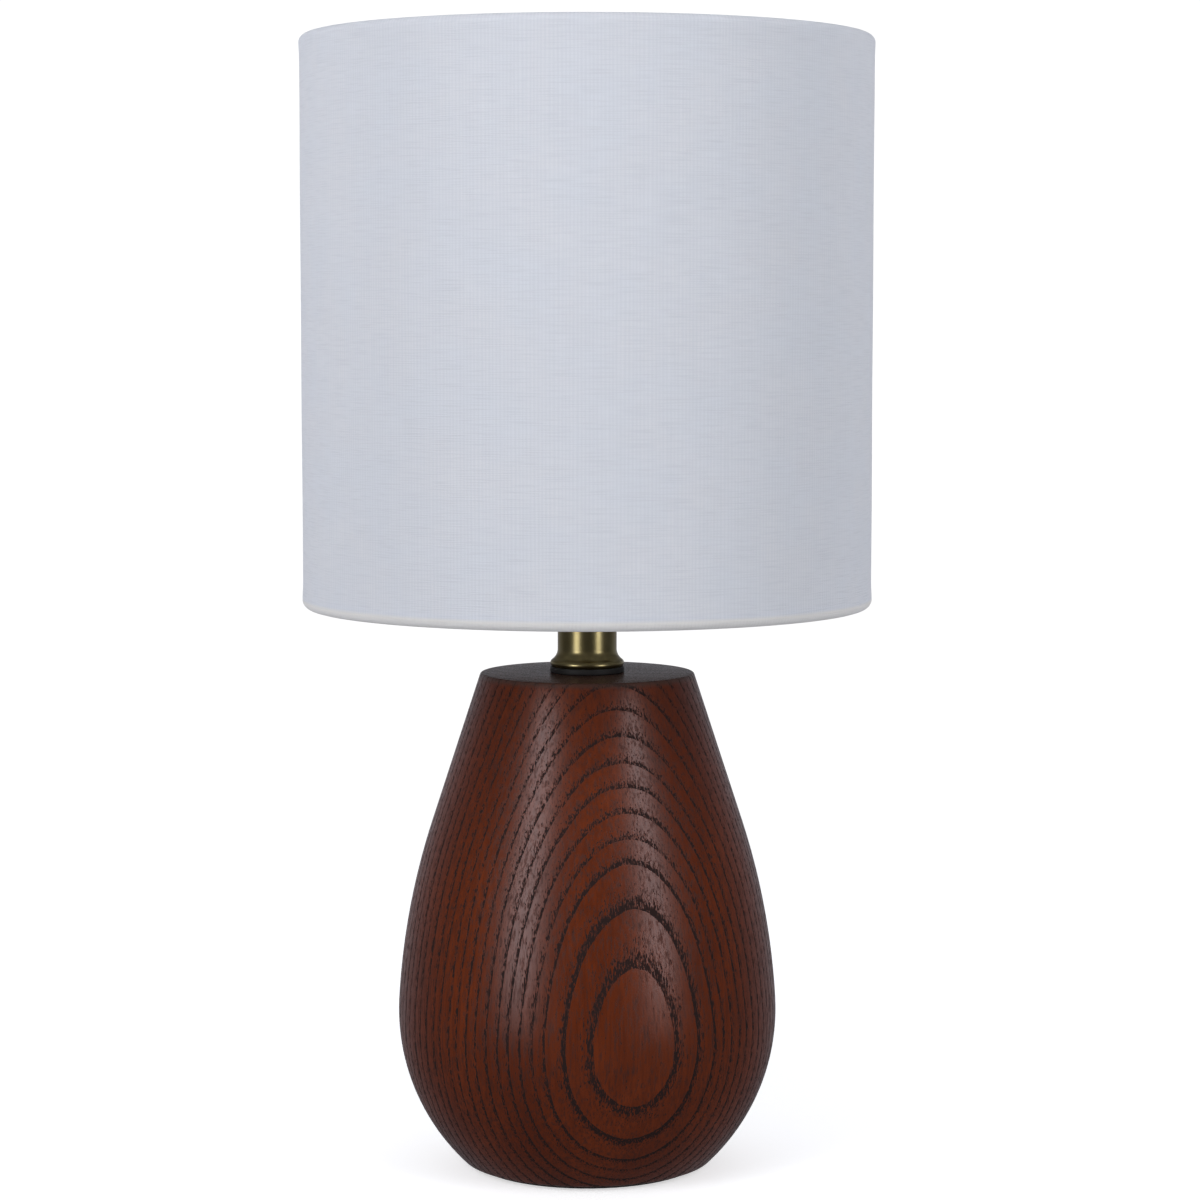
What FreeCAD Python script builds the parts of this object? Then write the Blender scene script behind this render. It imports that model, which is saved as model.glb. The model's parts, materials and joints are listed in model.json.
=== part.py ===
import FreeCAD, Part

import math
import os
import re

import Sketcher

# A table lamp: a turned wood base and a brass neck on a threaded pipe, a turn-knob
# socket with its bulb, and a drum shade that hangs on a wire harp.
# The frame has +Z up and its origin on the table, in the middle of the foot. The harp
# stands in the XZ plane, the knob points to -Y and the cord hole to +Y. Sizes are in mm.

SIZES = {
    # Felt pad and turned wood base
    "felt_thickness": 1.5,
    "felt_radius": 41.0,
    "base_height": 176.9,
    "base_top_radius": 38.3,
    "belly_radius": 68.16,
    "belly_height": 54.7,
    "belly_rise": 4.5,
    "shoulder_straight_share": 0.4644,
    "foot_radius": 44.6,
    "foot_round": 1.2,
    "base_top_round": 0.6,
    "pipe_hole_radius": 5.4,
    "recess_radius": 30.0,
    "recess_depth": 22.0,
    # Cord hole and its bushing
    "cord_height": 14.5,
    "cord_seat": 51.0,
    "cord_spot_radius": 7.0,
    "cord_hole_radius": 4.8,
    "bushing_clearance": 0.1,
    "bushing_flange_radius": 6.6,
    "bushing_flange_thickness": 1.6,
    "bushing_length": 13.6,
    "bushing_bore_radius": 3.3,
    # Threaded pipe and what clamps it under the base
    "pipe_radius": 4.9,
    "pipe_bore_radius": 3.3,
    "pipe_tail": 3.2,
    "pipe_entry": 7.0,
    "thread_clearance": 0.1,
    "hole_clearance": 0.3,
    "washer_radius": 19.0,
    "washer_thickness": 1.6,
    "lock_washer_radius": 8.4,
    "lock_washer_thickness": 1.4,
    "lock_washer_sweep": 345.0,
    "nut_across_flats": 14.3,
    "nut_thickness": 4.8,
    "locknut_thickness": 3.0,
    # Rubber gasket and brass neck
    "gasket_radius": 13.25,
    "gasket_thickness": 2.2,
    "neck_height": 25.4,
    "neck_radius": 10.6,
    "neck_wall": 1.2,
    "neck_cap_thickness": 2.0,
    "bead_width": 0.65,
    "bead_height": 2.5,
    "cove_height": 6.35,
    # Harp saddle and harp
    "saddle_edge": 0.8,
    "saddle_thickness": 1.3,
    "saddle_bend_radius": 7.0,
    "shoulder_height": 12.0,
    "tongue_width": 3.6,
    "tongue_length": 7.5,
    "wire_radius": 1.6,
    "leg_spacing": 26.5,
    "leg_length": 20.0,
    "loop_radius": 52.0,
    "loop_flare_share": 0.735,
    "harp_height": 178.0,
    "sleeve_radius": 3.4,
    "sleeve_bore_radius": 2.25,
    "sleeve_length": 13.0,
    "sleeve_bevel": 0.4,
    "seat_clearance": 0.2,
    # Stud on the harp and the finial that screws on it
    "stud_flange_radius": 8.0,
    "stud_flange_thickness": 1.6,
    "stud_barrel_radius": 4.2,
    "stud_barrel_height": 6.0,
    "post_radius": 3.1,
    "post_height": 13.0,
    "post_bevel": 0.6,
    "wire_clearance": 0.2,
    "finial_height": 16.6,
    "finial_flange_radius": 6.8,
    "finial_flange_thickness": 2.0,
    "finial_neck_radius": 4.8,
    "finial_neck_height": 1.6,
    "finial_head_radius": 6.6,
    "finial_head_bevel": 1.8,
    "finial_bore_depth": 12.4,
    # Socket
    "cap_boss_radius": 7.5,
    "cap_boss_height": 6.0,
    "cap_radius": 17.8,
    "cap_wall": 0.8,
    "cap_floor_radius": 10.6,
    "cap_flank_height": 8.0,
    "cap_height": 20.0,
    "set_screw_radius": 1.5,
    "set_screw_length": 5.0,
    "set_screw_head_radius": 2.5,
    "set_screw_head_length": 1.5,
    "shell_clearance": 0.1,
    "shell_wall": 0.6,
    "shell_height": 44.0,
    "shell_step_height": 20.0,
    "shell_step": 0.7,
    "shaft_slot_width": 6.0,
    "paper_clearance": 0.1,
    "paper_thickness": 0.7,
    "paper_height": 42.0,
    "block_clearance": 0.2,
    "block_foot_radius": 9.6,
    "block_foot_wall": 1.8,
    "block_foot_height": 5.2,
    "block_height": 22.0,
    "terminal_depth": 3.6,
    "terminal_pocket_width": 9.0,
    "terminal_pocket_height": 9.0,
    "terminal_head_radius": 3.0,
    "terminal_head_thickness": 1.8,
    "terminal_slot_width": 0.8,
    "terminal_slot_depth": 0.7,
    "screw_shell_clearance": 0.3,
    "screw_shell_wall": 0.5,
    "screw_shell_height": 20.0,
    "screw_shell_floor_hole_radius": 7.5,
    "contact_strip_width": 5.0,
    "contact_strip_thickness": 0.5,
    "contact_rise": 2.2,
    "contact_foot_length": 3.0,
    "contact_reach": 6.6,
    "contact_tip_length": 3.4,
    # Switch knob
    "shaft_radius": 2.2,
    "shaft_bore_radius": 2.4,
    "shaft_rise": 5.0,
    "shaft_inner_length": 3.0,
    "shaft_bore_depth": 4.0,
    "knob_gap": 1.2,
    "knob_radius": 6.5,
    "knob_length": 14.0,
    "knob_collar_radius": 4.4,
    "knob_collar_length": 2.5,
    "knob_crown": 1.2,
    "knob_flute_radius": 0.9,
    "knob_bore_depth": 9.0,
    # Bulb
    "bulb_thread_radius": 13.0,
    "bulb_cap_wall": 0.4,
    "bulb_cap_height": 22.0,
    "bulb_cap_taper": 2.4,
    "insulator_radius": 8.4,
    "insulator_tip_radius": 5.2,
    "insulator_height": 3.4,
    "bulb_contact_radius": 4.8,
    "bulb_contact_height": 1.4,
    "bulb_neck_radius": 12.4,
    "bulb_radius": 30.0,
    "bulb_length": 108.0,
    # Drum shade
    "shade_radius": 101.6,
    "shade_height": 200.8,
    "shade_rise": 19.8,
    "fabric_thickness": 0.6,
    "liner_thickness": 0.6,
    "ring_wire_radius": 1.6,
    "hem_clearance": 0.1,
    "rim_bevel": 0.8,
    "hem_depth": 12.0,
    "hub_radius": 14.0,
    "hub_thickness": 1.6,
    "arm_radius": 1.5,
    "arm_sink": 0.4,
    "arm_start": 9.2,
    "arm_bend_distance": 24.0,
    "arm_bend_radius": 12.0,
    "arm_slot_clearance": 0.5,
}

ARM_SIDES = ("back", "left", "right")
KNOB_FLUTES = 14

# Heights and places that follow from the sizes, each in terms of the ones above it
LEVELS = {
    "lower_curve_radius":
        "((belly_radius - foot_radius)^2 + belly_height^2) / (2 * (belly_radius - foot_radius))",
    "belly_turn_radius":
        "belly_radius - lower_curve_radius + sqrt(lower_curve_radius^2 - belly_rise^2)",
    "belly_turn_height": "belly_height + belly_rise",
    "shoulder_inward": "sqrt(lower_curve_radius^2 - belly_rise^2) / lower_curve_radius",
    "shoulder_downward": "belly_rise / lower_curve_radius",
    "shoulder_chord":
        "sqrt((belly_turn_radius - base_top_radius)^2 + (base_height - belly_turn_height)^2)",
    "shoulder_sink":
        "(belly_turn_radius - base_top_radius) * shoulder_inward"
        " - (base_height - belly_turn_height) * shoulder_downward",
    "shoulder_curve_radius":
        "shoulder_chord^2 * (1 - shoulder_straight_share^2) / (2 * shoulder_sink)",
    "shoulder_centre_x": "belly_turn_radius - shoulder_curve_radius * shoulder_inward",
    "shoulder_centre_y": "belly_turn_height - shoulder_curve_radius * shoulder_downward",
    "shoulder_reach":
        "sqrt((base_top_radius - shoulder_centre_x)^2 + (base_height - shoulder_centre_y)^2)",
    "shoulder_angle":
        "atan((base_height - shoulder_centre_y) / (base_top_radius - shoulder_centre_x))"
        " - acos(shoulder_curve_radius / shoulder_reach)",
    "straight_start_radius": "shoulder_centre_x + shoulder_curve_radius * cos(shoulder_angle)",
    "straight_start_height": "shoulder_centre_y + shoulder_curve_radius * sin(shoulder_angle)",
    "base_top": "felt_thickness + base_height",
    "recess_top": "felt_thickness + recess_depth",
    "washer_bottom": "recess_top - washer_thickness",
    "lock_washer_bottom": "washer_bottom - lock_washer_thickness",
    "nut_bottom": "lock_washer_bottom - nut_thickness",
    "pipe_bottom": "nut_bottom - pipe_tail",
    "neck_bottom": "base_top + gasket_thickness",
    "saddle_bottom": "neck_bottom + neck_height",
    "saddle_width": "2 * (pipe_radius + hole_clearance + saddle_edge)",
    "locknut_bottom": "saddle_bottom + saddle_thickness",
    "cap_bottom": "locknut_bottom + locknut_thickness",
    "pipe_top": "cap_bottom + pipe_entry",
    "cap_flank_top": "cap_boss_height + cap_flank_height",
    "shell_bottom": "cap_bottom + cap_flank_top",
    "shell_outer": "cap_radius - cap_wall - shell_clearance",
    "shell_upper": "shell_outer - shell_step",
    "paper_outer": "shell_upper - shell_wall - paper_clearance",
    "block_radius": "paper_outer - paper_thickness - block_clearance",
    "block_bottom": "cap_bottom + cap_boss_height + cap_wall",
    "block_top": "block_bottom + block_foot_height + block_height",
    "shaft_level": "cap_bottom + cap_height + shaft_rise",
    "knob_start": "cap_radius + knob_gap",
    "screw_shell_inner": "bulb_thread_radius + screw_shell_clearance",
    "contact_top": "block_top + contact_rise + contact_strip_thickness",
    "bulb_bottom": "contact_top + seat_clearance",
    "insulator_bottom": "bulb_bottom + bulb_contact_height",
    "bulb_cap_bottom": "insulator_bottom + insulator_height",
    "bulb_cap_top": "bulb_cap_bottom + bulb_cap_height",
    "bulb_centre": "bulb_bottom + bulb_length - bulb_radius",
    "bulb_drop": "bulb_centre - bulb_cap_top",
    "flank_angle":
        "atan(bulb_drop / bulb_neck_radius)"
        " - acos(bulb_radius / sqrt(bulb_drop^2 + bulb_neck_radius^2))",
    "flank_radius": "bulb_radius * cos(flank_angle)",
    "flank_height": "bulb_drop - bulb_radius * sin(flank_angle)",
    "shoulder_top": "saddle_bottom + shoulder_height",
    "tongue_top": "shoulder_top + tongue_length",
    "leg_bottom": "tongue_top + seat_clearance",
    "seat_top": "saddle_bottom + harp_height",
    "loop_top": "seat_top - stud_flange_thickness - stud_barrel_height / 2",
    "flare_bottom": "leg_bottom + leg_length",
    "arch_bottom": "loop_top - loop_radius",
    "loop_flare_height": "loop_flare_share * (arch_bottom - flare_bottom)",
    "flare_top": "flare_bottom + loop_flare_height",
    "flare_spread": "loop_radius - leg_spacing",
    "flare_curve_radius": "(flare_spread^2 + loop_flare_height^2) / (4 * flare_spread)",
    "hub_bottom": "seat_top + seat_clearance",
    "hub_top": "hub_bottom + hub_thickness",
    "finial_bottom": "hub_top + seat_clearance",
    "shade_top": "seat_top + shade_rise",
    "shade_bottom": "shade_top - shade_height",
    "liner_outer": "shade_radius - fabric_thickness",
    "liner_inner": "liner_outer - liner_thickness",
    "ring_centre_radius": "liner_inner - ring_wire_radius",
    "hem_outer": "ring_centre_radius - ring_wire_radius - hem_clearance",
    "hem_inner": "hem_outer - fabric_thickness",
    "rim_depth": "fabric_thickness + hem_clearance + ring_wire_radius",
    "ring_top_level": "shade_top - rim_depth",
    "ring_bottom_level": "shade_bottom + rim_depth",
    "arm_level": "hub_thickness + arm_radius - arm_sink",
    "arm_rise": "ring_top_level - hub_bottom - arm_level",
    "arm_run": "ring_centre_radius - arm_bend_distance",
    "arm_slope": "sqrt(arm_run^2 + arm_rise^2)",
    "arm_bend_length": "arm_bend_radius * arm_rise / (arm_slope + arm_run)",
}

doc = FreeCAD.newDocument("table_lamp")
parts = []


def add_sheet(name, cells):
    """Makes a spreadsheet with one named cell to a row."""
    table = doc.addObject("Spreadsheet::Sheet", name)
    for row, (alias, content) in enumerate(cells.items(), start=1):
        table.set(f"A{row}", alias)
        table.set(f"B{row}", content)
        table.setAlias(f"B{row}", alias)
    return table


def on_sheet(text, sheets=("sizes", "levels")):
    """Puts the sheet's name before each size that an expression names."""
    owner = {}
    if "sizes" in sheets:
        owner.update({alias: "sizes" for alias in SIZES})
    if "levels" in sheets:
        owner.update({alias: "levels" for alias in LEVELS})
    return re.sub(r"[a-z_]+", lambda word: (
        f"{owner[word[0]]}.{word[0]}" if word[0] in owner else word[0]), text)


sizes = add_sheet("sizes", {alias: str(number) for alias, number in SIZES.items()})
levels = add_sheet("levels", {
    alias: "=" + on_sheet(formula, sheets=("sizes",)) for alias, formula in LEVELS.items()})
doc.recompute()


def value(text):
    """The number that an expression gives now."""
    number = sizes.evalExpression(on_sheet(text))
    return float(getattr(number, "Value", number))


def bind(target, **expressions):
    """Ties properties of an object to expressions on the sheets."""
    for name, text in expressions.items():
        target.setExpression(name, on_sheet(text))


def place(target, x=None, y=None, z=None, turn=None):
    """Turns an object and ties its place to expressions."""
    if turn is not None:
        target.Placement = FreeCAD.Placement(FreeCAD.Vector(), turn)
    for axis, text in (("x", x), ("y", y), ("z", z)):
        if text is not None:
            target.setExpression(f"Placement.Base.{axis}", on_sheet(text))


def keep(target, label):
    """Labels a finished sub-part and lists it for export."""
    target.Label = label
    parts.append(target)
    return target


def new_body(label, **where):
    """Starts a sub-part that is made of features."""
    body = doc.addObject("PartDesign::Body", label)
    place(body, **where)
    return keep(body, label)


def sketch_on(body, name, role, offset=None):
    """Adds a sketch on one of the body's own origin planes, or beside it."""
    sketch = body.newObject("Sketcher::SketchObject", name)
    plane = next(item for item in body.Origin.OriginFeatures if item.Role == role)
    sketch.AttachmentSupport = (plane, [""])
    sketch.MapMode = "FlatFace"
    if offset is not None:
        sketch.setExpression("AttachmentOffset.Base.z", on_sheet(offset))
    return sketch


def pin_point(sketch, geometry, end, point):
    """Holds one end of an edge at a pair of expressions."""
    for kind, axis, text in (("DistanceX", -2, point[0]), ("DistanceY", -1, point[1])):
        if text == "0":
            sketch.addConstraint(Sketcher.Constraint("PointOnObject", geometry, end, axis))
            continue
        held = sketch.addConstraint(
            Sketcher.Constraint(kind, -1, 1, geometry, end, value(text)))
        sketch.setExpression(f"Constraints[{held}]", on_sheet(text))


def arc_geometry(first, last, radius, side):
    """An arc under a half turn, with its centre left or right of the way from first to last."""
    chord = last - first
    sign = 1 if side == "left" else -1
    across = FreeCAD.Vector(-chord.y, chord.x, 0).normalize() * sign
    reach = math.sqrt(max(radius ** 2 - chord.Length ** 2 / 4, 0))
    centre = (first + last) / 2 + across * reach
    begin, finish = (first, last) if side == "left" else (last, first)
    start_angle = math.atan2(begin.y - centre.y, begin.x - centre.x)
    end_angle = math.atan2(finish.y - centre.y, finish.x - centre.x)
    if end_angle < start_angle:
        end_angle += 2 * math.pi
    circle = Part.Circle(centre, FreeCAD.Vector(0, 0, 1), radius)
    return Part.ArcOfCircle(circle, start_angle, end_angle)


def draw(sketch, start, steps, closed=True, last_arc=()):
    """Draws a chain of edges from a start point through the given steps.

    A step is a pair of expressions, for a straight edge to that point, or a pair with
    a radius and a side, for an arc whose centre lies to that side of the way. A closed
    chain goes back to the start, along an arc where last_arc gives its radius and side.
    """
    last = FreeCAD.Vector(value(start[0]), value(start[1]), 0)
    ends = []
    for step in steps + ([start + last_arc] if closed else []):
        here = FreeCAD.Vector(value(step[0]), value(step[1]), 0)
        if len(step) == 2:
            edge = sketch.addGeometry(Part.LineSegment(last, here), False)
            begin, finish = 1, 2
        else:
            side = step[3]
            radius = value(step[2])
            edge = sketch.addGeometry(arc_geometry(last, here, radius, side), False)
            begin, finish = (1, 2) if side == "left" else (2, 1)
            held = sketch.addConstraint(Sketcher.Constraint("Radius", edge, radius))
            sketch.setExpression(f"Constraints[{held}]", on_sheet(step[2]))
        if ends:
            sketch.addConstraint(
                Sketcher.Constraint("Coincident", ends[-1][0], ends[-1][2], edge, begin))
        ends.append((edge, begin, finish))
        pin_point(sketch, edge, finish, step[:2])
        last = here
    if closed:
        sketch.addConstraint(Sketcher.Constraint(
            "Coincident", ends[-1][0], ends[-1][2], ends[0][0], ends[0][1]))
    else:
        pin_point(sketch, ends[0][0], ends[0][1], start)


def draw_circle(sketch, radius, x="0", y="0"):
    """Draws a circle round a pair of expressions."""
    centre = FreeCAD.Vector(value(x), value(y), 0)
    edge = sketch.addGeometry(
        Part.Circle(centre, FreeCAD.Vector(0, 0, 1), value(radius)), False)
    held = sketch.addConstraint(Sketcher.Constraint("Radius", edge, value(radius)))
    sketch.setExpression(f"Constraints[{held}]", on_sheet(radius))
    pin_point(sketch, edge, 3, (x, y))


def draw_octagon(sketch, radius, x="0", y="0"):
    """Draws an eight-sided section of a wire round a pair of expressions."""
    corners = [
        (f"{x} + {radius} * cos({angle})", f"{y} + {radius} * sin({angle})")
        for angle in (22.5 + 45 * turn for turn in range(8))]
    draw(sketch, corners[0], corners[1:])


def draw_box(sketch, left, right, bottom, top):
    """Draws a rectangle between four expressions."""
    draw(sketch, (left, bottom), [(right, bottom), (right, top), (left, top)])


def feature(body, kind, sketch, **settings):
    """Adds a feature on a sketch; its lengths and angles come as expressions."""
    made = body.newObject(f"PartDesign::{kind}", f"{sketch.Name}_{kind.lower()}")
    made.Profile = sketch
    for name, setting in settings.items():
        if isinstance(setting, str) and name in ("Length", "Angle"):
            made.setExpression(name, on_sheet(setting))
        else:
            setattr(made, name, setting)
    return made


def revolve(body, name, start, steps, **settings):
    """Turns an outline, drawn as radius and height, about the body's own Z axis."""
    outline = sketch_on(body, name, "XZ_Plane")
    draw(outline, start, steps)
    return feature(
        body, "Revolution", outline, ReferenceAxis=(outline, ["V_Axis"]), **settings)


def turned(label, start, steps, **where):
    """A sub-part that is a single turned shape."""
    body = new_body(label, **where)
    revolve(body, f"{label}_outline", start, steps)
    return body


def tube(label, inner, outer, height, **where):
    """A sub-part that is a plain ring or tube."""
    return turned(label, (inner, "0"), [(outer, "0"), (outer, height), (inner, height)], **where)


def repeat(body, original, copies):
    """Repeats a feature round the body's own Z axis."""
    pattern = body.newObject("PartDesign::PolarPattern", f"{original.Name}_pattern")
    axis = next(item for item in body.Origin.OriginFeatures if item.Role == "Z_Axis")
    pattern.Originals = [original]
    pattern.Axis = (axis, [""])
    pattern.Angle = 360
    pattern.Occurrences = copies
    body.Tip = pattern
    return pattern


def ring_edges(shape, radius, height):
    """Names of the circular edges of a turned shape at a radius and a height."""
    near = value("hole_clearance") / 10
    return [
        f"Edge{number}" for number, edge in enumerate(shape.Edges, start=1)
        if isinstance(edge.Curve, Part.Circle)
        and abs(edge.Curve.Radius - value(radius)) < near
        and abs(edge.Curve.Center.z - value(height)) < near]


def round_ring(body, name, base, radius, height, size):
    """Rounds the circular edges at a radius and a height."""
    doc.recompute()
    made = body.newObject("PartDesign::Fillet", name)
    made.Base = (base, ring_edges(base.Shape, radius, height))
    made.setExpression("Radius", on_sheet(size))
    return made


def wood_base():
    """A solid turned base with a bore for the pipe and a recess for the nut and cord."""
    body = new_body("wood_base", z="felt_thickness")
    solid = revolve(body, "base_outline", ("foot_radius", "0"), [
        ("belly_turn_radius", "belly_turn_height", "lower_curve_radius", "left"),
        ("straight_start_radius", "straight_start_height", "shoulder_curve_radius", "left"),
        ("base_top_radius", "base_height"),
        ("pipe_hole_radius", "base_height"),
        ("pipe_hole_radius", "recess_depth"),
        ("recess_radius", "recess_depth"),
        ("recess_radius", "0"),
    ])
    rounded = round_ring(body, "foot_edge", solid, "foot_radius", "0", "foot_round")
    round_ring(body, "top_edge", rounded, "base_top_radius", "base_height", "base_top_round")
    hole = sketch_on(body, "cord_hole", "XZ_Plane")
    draw_circle(hole, "cord_hole_radius", y="cord_height")
    feature(body, "Pocket", hole, Type="ThroughAll")
    spot = sketch_on(body, "cord_spot", "XZ_Plane", offset="-cord_seat")
    draw_circle(spot, "cord_spot_radius", y="cord_height")
    feature(body, "Pocket", spot, Type="ThroughAll")


def felt_pad():
    """The felt disc under the foot."""
    disc = doc.addObject("Part::Cylinder", "felt_disc")
    bind(disc, Radius="felt_radius", Height="felt_thickness")
    keep(disc, "felt_pad")


def cord_bushing():
    """The flanged bushing in the cord hole, drawn from its inner end outwards."""
    turned("cord_bushing", ("bushing_bore_radius", "0"), [
        ("cord_hole_radius - bushing_clearance", "0"),
        ("cord_hole_radius - bushing_clearance", "bushing_length - bushing_flange_thickness"),
        ("bushing_flange_radius", "bushing_length - bushing_flange_thickness"),
        ("bushing_flange_radius", "bushing_length"),
        ("bushing_bore_radius", "bushing_length"),
    ], y="cord_seat + bushing_flange_thickness - bushing_length",
        z="felt_thickness + cord_height",
        turn=FreeCAD.Rotation(FreeCAD.Vector(1, 0, 0), -90))


def hex_nut(label, thickness, z):
    """A hexagon nut on the pipe."""
    body = new_body(label, z=z)
    corner = "nut_across_flats / sqrt(3)"
    half_corner = "nut_across_flats / sqrt(3) / 2"
    flat = "nut_across_flats / 2"
    section = sketch_on(body, f"{label}_section", "XY_Plane")
    draw(section, (corner, "0"), [
        (half_corner, flat),
        (f"-{half_corner}", flat),
        (f"-{corner}", "0"),
        (f"-{half_corner}", f"-{flat}"),
        (half_corner, f"-{flat}"),
    ])
    draw_circle(section, "pipe_radius + thread_clearance")
    feature(body, "Pad", section, Length=thickness)


def pipe_and_fasteners():
    """The threaded pipe, with the washers and nuts that clamp the lamp on it."""
    tube("lamp_pipe", "pipe_bore_radius", "pipe_radius", "pipe_top - pipe_bottom",
         z="pipe_bottom")
    tube("bottom_washer", "pipe_radius + hole_clearance", "washer_radius",
         "washer_thickness", z="washer_bottom")
    washer = new_body("bottom_lock_washer", z="lock_washer_bottom")
    revolve(washer, "lock_washer_outline", ("pipe_radius + hole_clearance", "0"), [
        ("lock_washer_radius", "0"),
        ("lock_washer_radius", "lock_washer_thickness"),
        ("pipe_radius + hole_clearance", "lock_washer_thickness"),
    ], Angle="lock_washer_sweep")
    hex_nut("bottom_nut", "nut_thickness", "nut_bottom")
    hex_nut("pipe_locknut", "locknut_thickness", "locknut_bottom")


def neck():
    """The rubber gasket and the spun brass neck with its bead and cove."""
    tube("rubber_gasket", "pipe_radius + hole_clearance", "gasket_radius",
         "gasket_thickness", z="base_top")
    bead_start = "gasket_radius - bead_width"
    cove_rise = "(cove_height - bead_height)"
    cove_run = "(gasket_radius - bead_width - neck_radius)"
    turned("brass_neck", ("neck_radius - neck_wall", "0"), [
        (bead_start, "0"),
        ("gasket_radius", "bead_height / 2",
         "(bead_height^2 / 4 + bead_width^2) / (2 * bead_width)", "left"),
        (bead_start, "bead_height",
         "(bead_height^2 / 4 + bead_width^2) / (2 * bead_width)", "left"),
        ("neck_radius", "cove_height",
         f"({cove_rise}^2 + {cove_run}^2) / (2 * {cove_run})", "right"),
        ("neck_radius", "neck_height"),
        ("pipe_radius + hole_clearance", "neck_height"),
        ("pipe_radius + hole_clearance", "neck_height - neck_cap_thickness"),
        ("neck_radius - neck_wall", "neck_height - neck_cap_thickness"),
    ], z="neck_bottom")


def harp_saddle():
    """The bent strap under the socket, with a narrow tongue on each arm."""
    body = new_body("harp_saddle", z="saddle_bottom")
    outside = "leg_spacing + saddle_thickness / 2"
    inside = "leg_spacing - saddle_thickness / 2"
    flat_end = f"{outside} - saddle_bend_radius"
    inner_bend = "saddle_bend_radius - saddle_thickness"
    tip = "shoulder_height + tongue_length"
    strap = sketch_on(body, "strap_outline", "XZ_Plane")
    draw(strap, (f"-({flat_end})", "0"), [
        (flat_end, "0"),
        (outside, "saddle_bend_radius", "saddle_bend_radius", "left"),
        (outside, tip),
        (inside, tip),
        (inside, "saddle_bend_radius"),
        (flat_end, "saddle_thickness", inner_bend, "right"),
        (f"-({flat_end})", "saddle_thickness"),
        (f"-({inside})", "saddle_bend_radius", inner_bend, "right"),
        (f"-({inside})", tip),
        (f"-({outside})", tip),
        (f"-({outside})", "saddle_bend_radius"),
    ], last_arc=("saddle_bend_radius", "left"))
    feature(body, "Pad", strap, Length="saddle_width", SideType="Symmetric")
    notches = sketch_on(body, "tongue_notches", "YZ_Plane")
    edge = "saddle_width / 2 + hole_clearance"
    above = f"{tip} + hole_clearance"
    draw_box(notches, "tongue_width / 2", edge, "shoulder_height", above)
    draw_box(notches, f"-({edge})", "-tongue_width / 2", "shoulder_height", above)
    feature(body, "Pocket", notches, Type="ThroughAll", SideType="Symmetric")
    hole = sketch_on(body, "saddle_hole", "XY_Plane")
    draw_circle(hole, "pipe_radius + hole_clearance")
    feature(body, "Pocket", hole, Type="ThroughAll", SideType="Symmetric")


def harp_wire():
    """The wire loop: straight legs, an S-bend outwards on each side and a round top."""
    body = new_body("harp_wire")
    middle_x = "leg_spacing + flare_spread / 2"
    middle_z = "flare_bottom + loop_flare_height / 2"
    path = sketch_on(body, "wire_path", "XZ_Plane")
    draw(path, ("leg_spacing", "leg_bottom"), [
        ("leg_spacing", "flare_bottom"),
        (middle_x, middle_z, "flare_curve_radius", "right"),
        ("loop_radius", "flare_top", "flare_curve_radius", "left"),
        ("loop_radius", "arch_bottom"),
        ("0", "loop_top", "loop_radius", "left"),
        ("-loop_radius", "arch_bottom", "loop_radius", "left"),
        ("-loop_radius", "flare_top"),
        (f"-({middle_x})", middle_z, "flare_curve_radius", "left"),
        ("-leg_spacing", "flare_bottom", "flare_curve_radius", "right"),
        ("-leg_spacing", "leg_bottom"),
    ], closed=False)
    section = sketch_on(body, "wire_section", "XY_Plane", offset="leg_bottom")
    draw_octagon(section, "wire_radius", x="leg_spacing")
    feature(body, "AdditivePipe", section, Spine=path)


def harp_sleeves():
    """The two sleeves that lock the harp's legs to the tongues of the saddle."""
    for label, x in (("harp_sleeve_left", "-leg_spacing"), ("harp_sleeve_right", "leg_spacing")):
        turned(label, ("sleeve_bore_radius", "0"), [
            ("sleeve_radius - sleeve_bevel", "0"),
            ("sleeve_radius", "sleeve_bevel"),
            ("sleeve_radius", "sleeve_length - sleeve_bevel"),
            ("sleeve_radius - sleeve_bevel", "sleeve_length"),
            ("sleeve_bore_radius", "sleeve_length"),
        ], x=x, z="shoulder_top + seat_clearance")


def harp_stud():
    """The barrel round the top of the wire, with a flange and a threaded post."""
    body = new_body("harp_stud", z="seat_top")
    lowest = "-stud_flange_thickness - stud_barrel_height"
    revolve(body, "stud_outline", ("0", lowest), [
        ("stud_barrel_radius", lowest),
        ("stud_barrel_radius", "-stud_flange_thickness"),
        ("stud_flange_radius", "-stud_flange_thickness"),
        ("stud_flange_radius", "0"),
        ("post_radius", "0"),
        ("post_radius", "post_height - post_bevel"),
        ("post_radius - post_bevel", "post_height"),
        ("0", "post_height"),
    ])
    bore = sketch_on(body, "wire_bore", "YZ_Plane")
    draw_circle(bore, "wire_radius + wire_clearance", y="loop_top - seat_top")
    feature(body, "Pocket", bore, Type="ThroughAll", SideType="Symmetric")


def finial():
    """The turned finial: a flange, a neck and a bevelled head, with a blind threaded hole."""
    neck_top = "finial_flange_thickness + finial_neck_height"
    turned("finial", ("post_radius + thread_clearance", "0"), [
        ("finial_flange_radius", "0"),
        ("finial_flange_radius", "finial_flange_thickness"),
        ("finial_neck_radius", "finial_flange_thickness"),
        ("finial_neck_radius", neck_top),
        ("finial_head_radius", f"{neck_top} + finial_head_bevel"),
        ("finial_head_radius", "finial_height - finial_head_bevel"),
        ("finial_head_radius - finial_head_bevel", "finial_height"),
        ("0", "finial_height"),
        ("0", "finial_bore_depth"),
        ("post_radius + thread_clearance", "finial_bore_depth"),
    ], z="finial_bottom")


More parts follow.
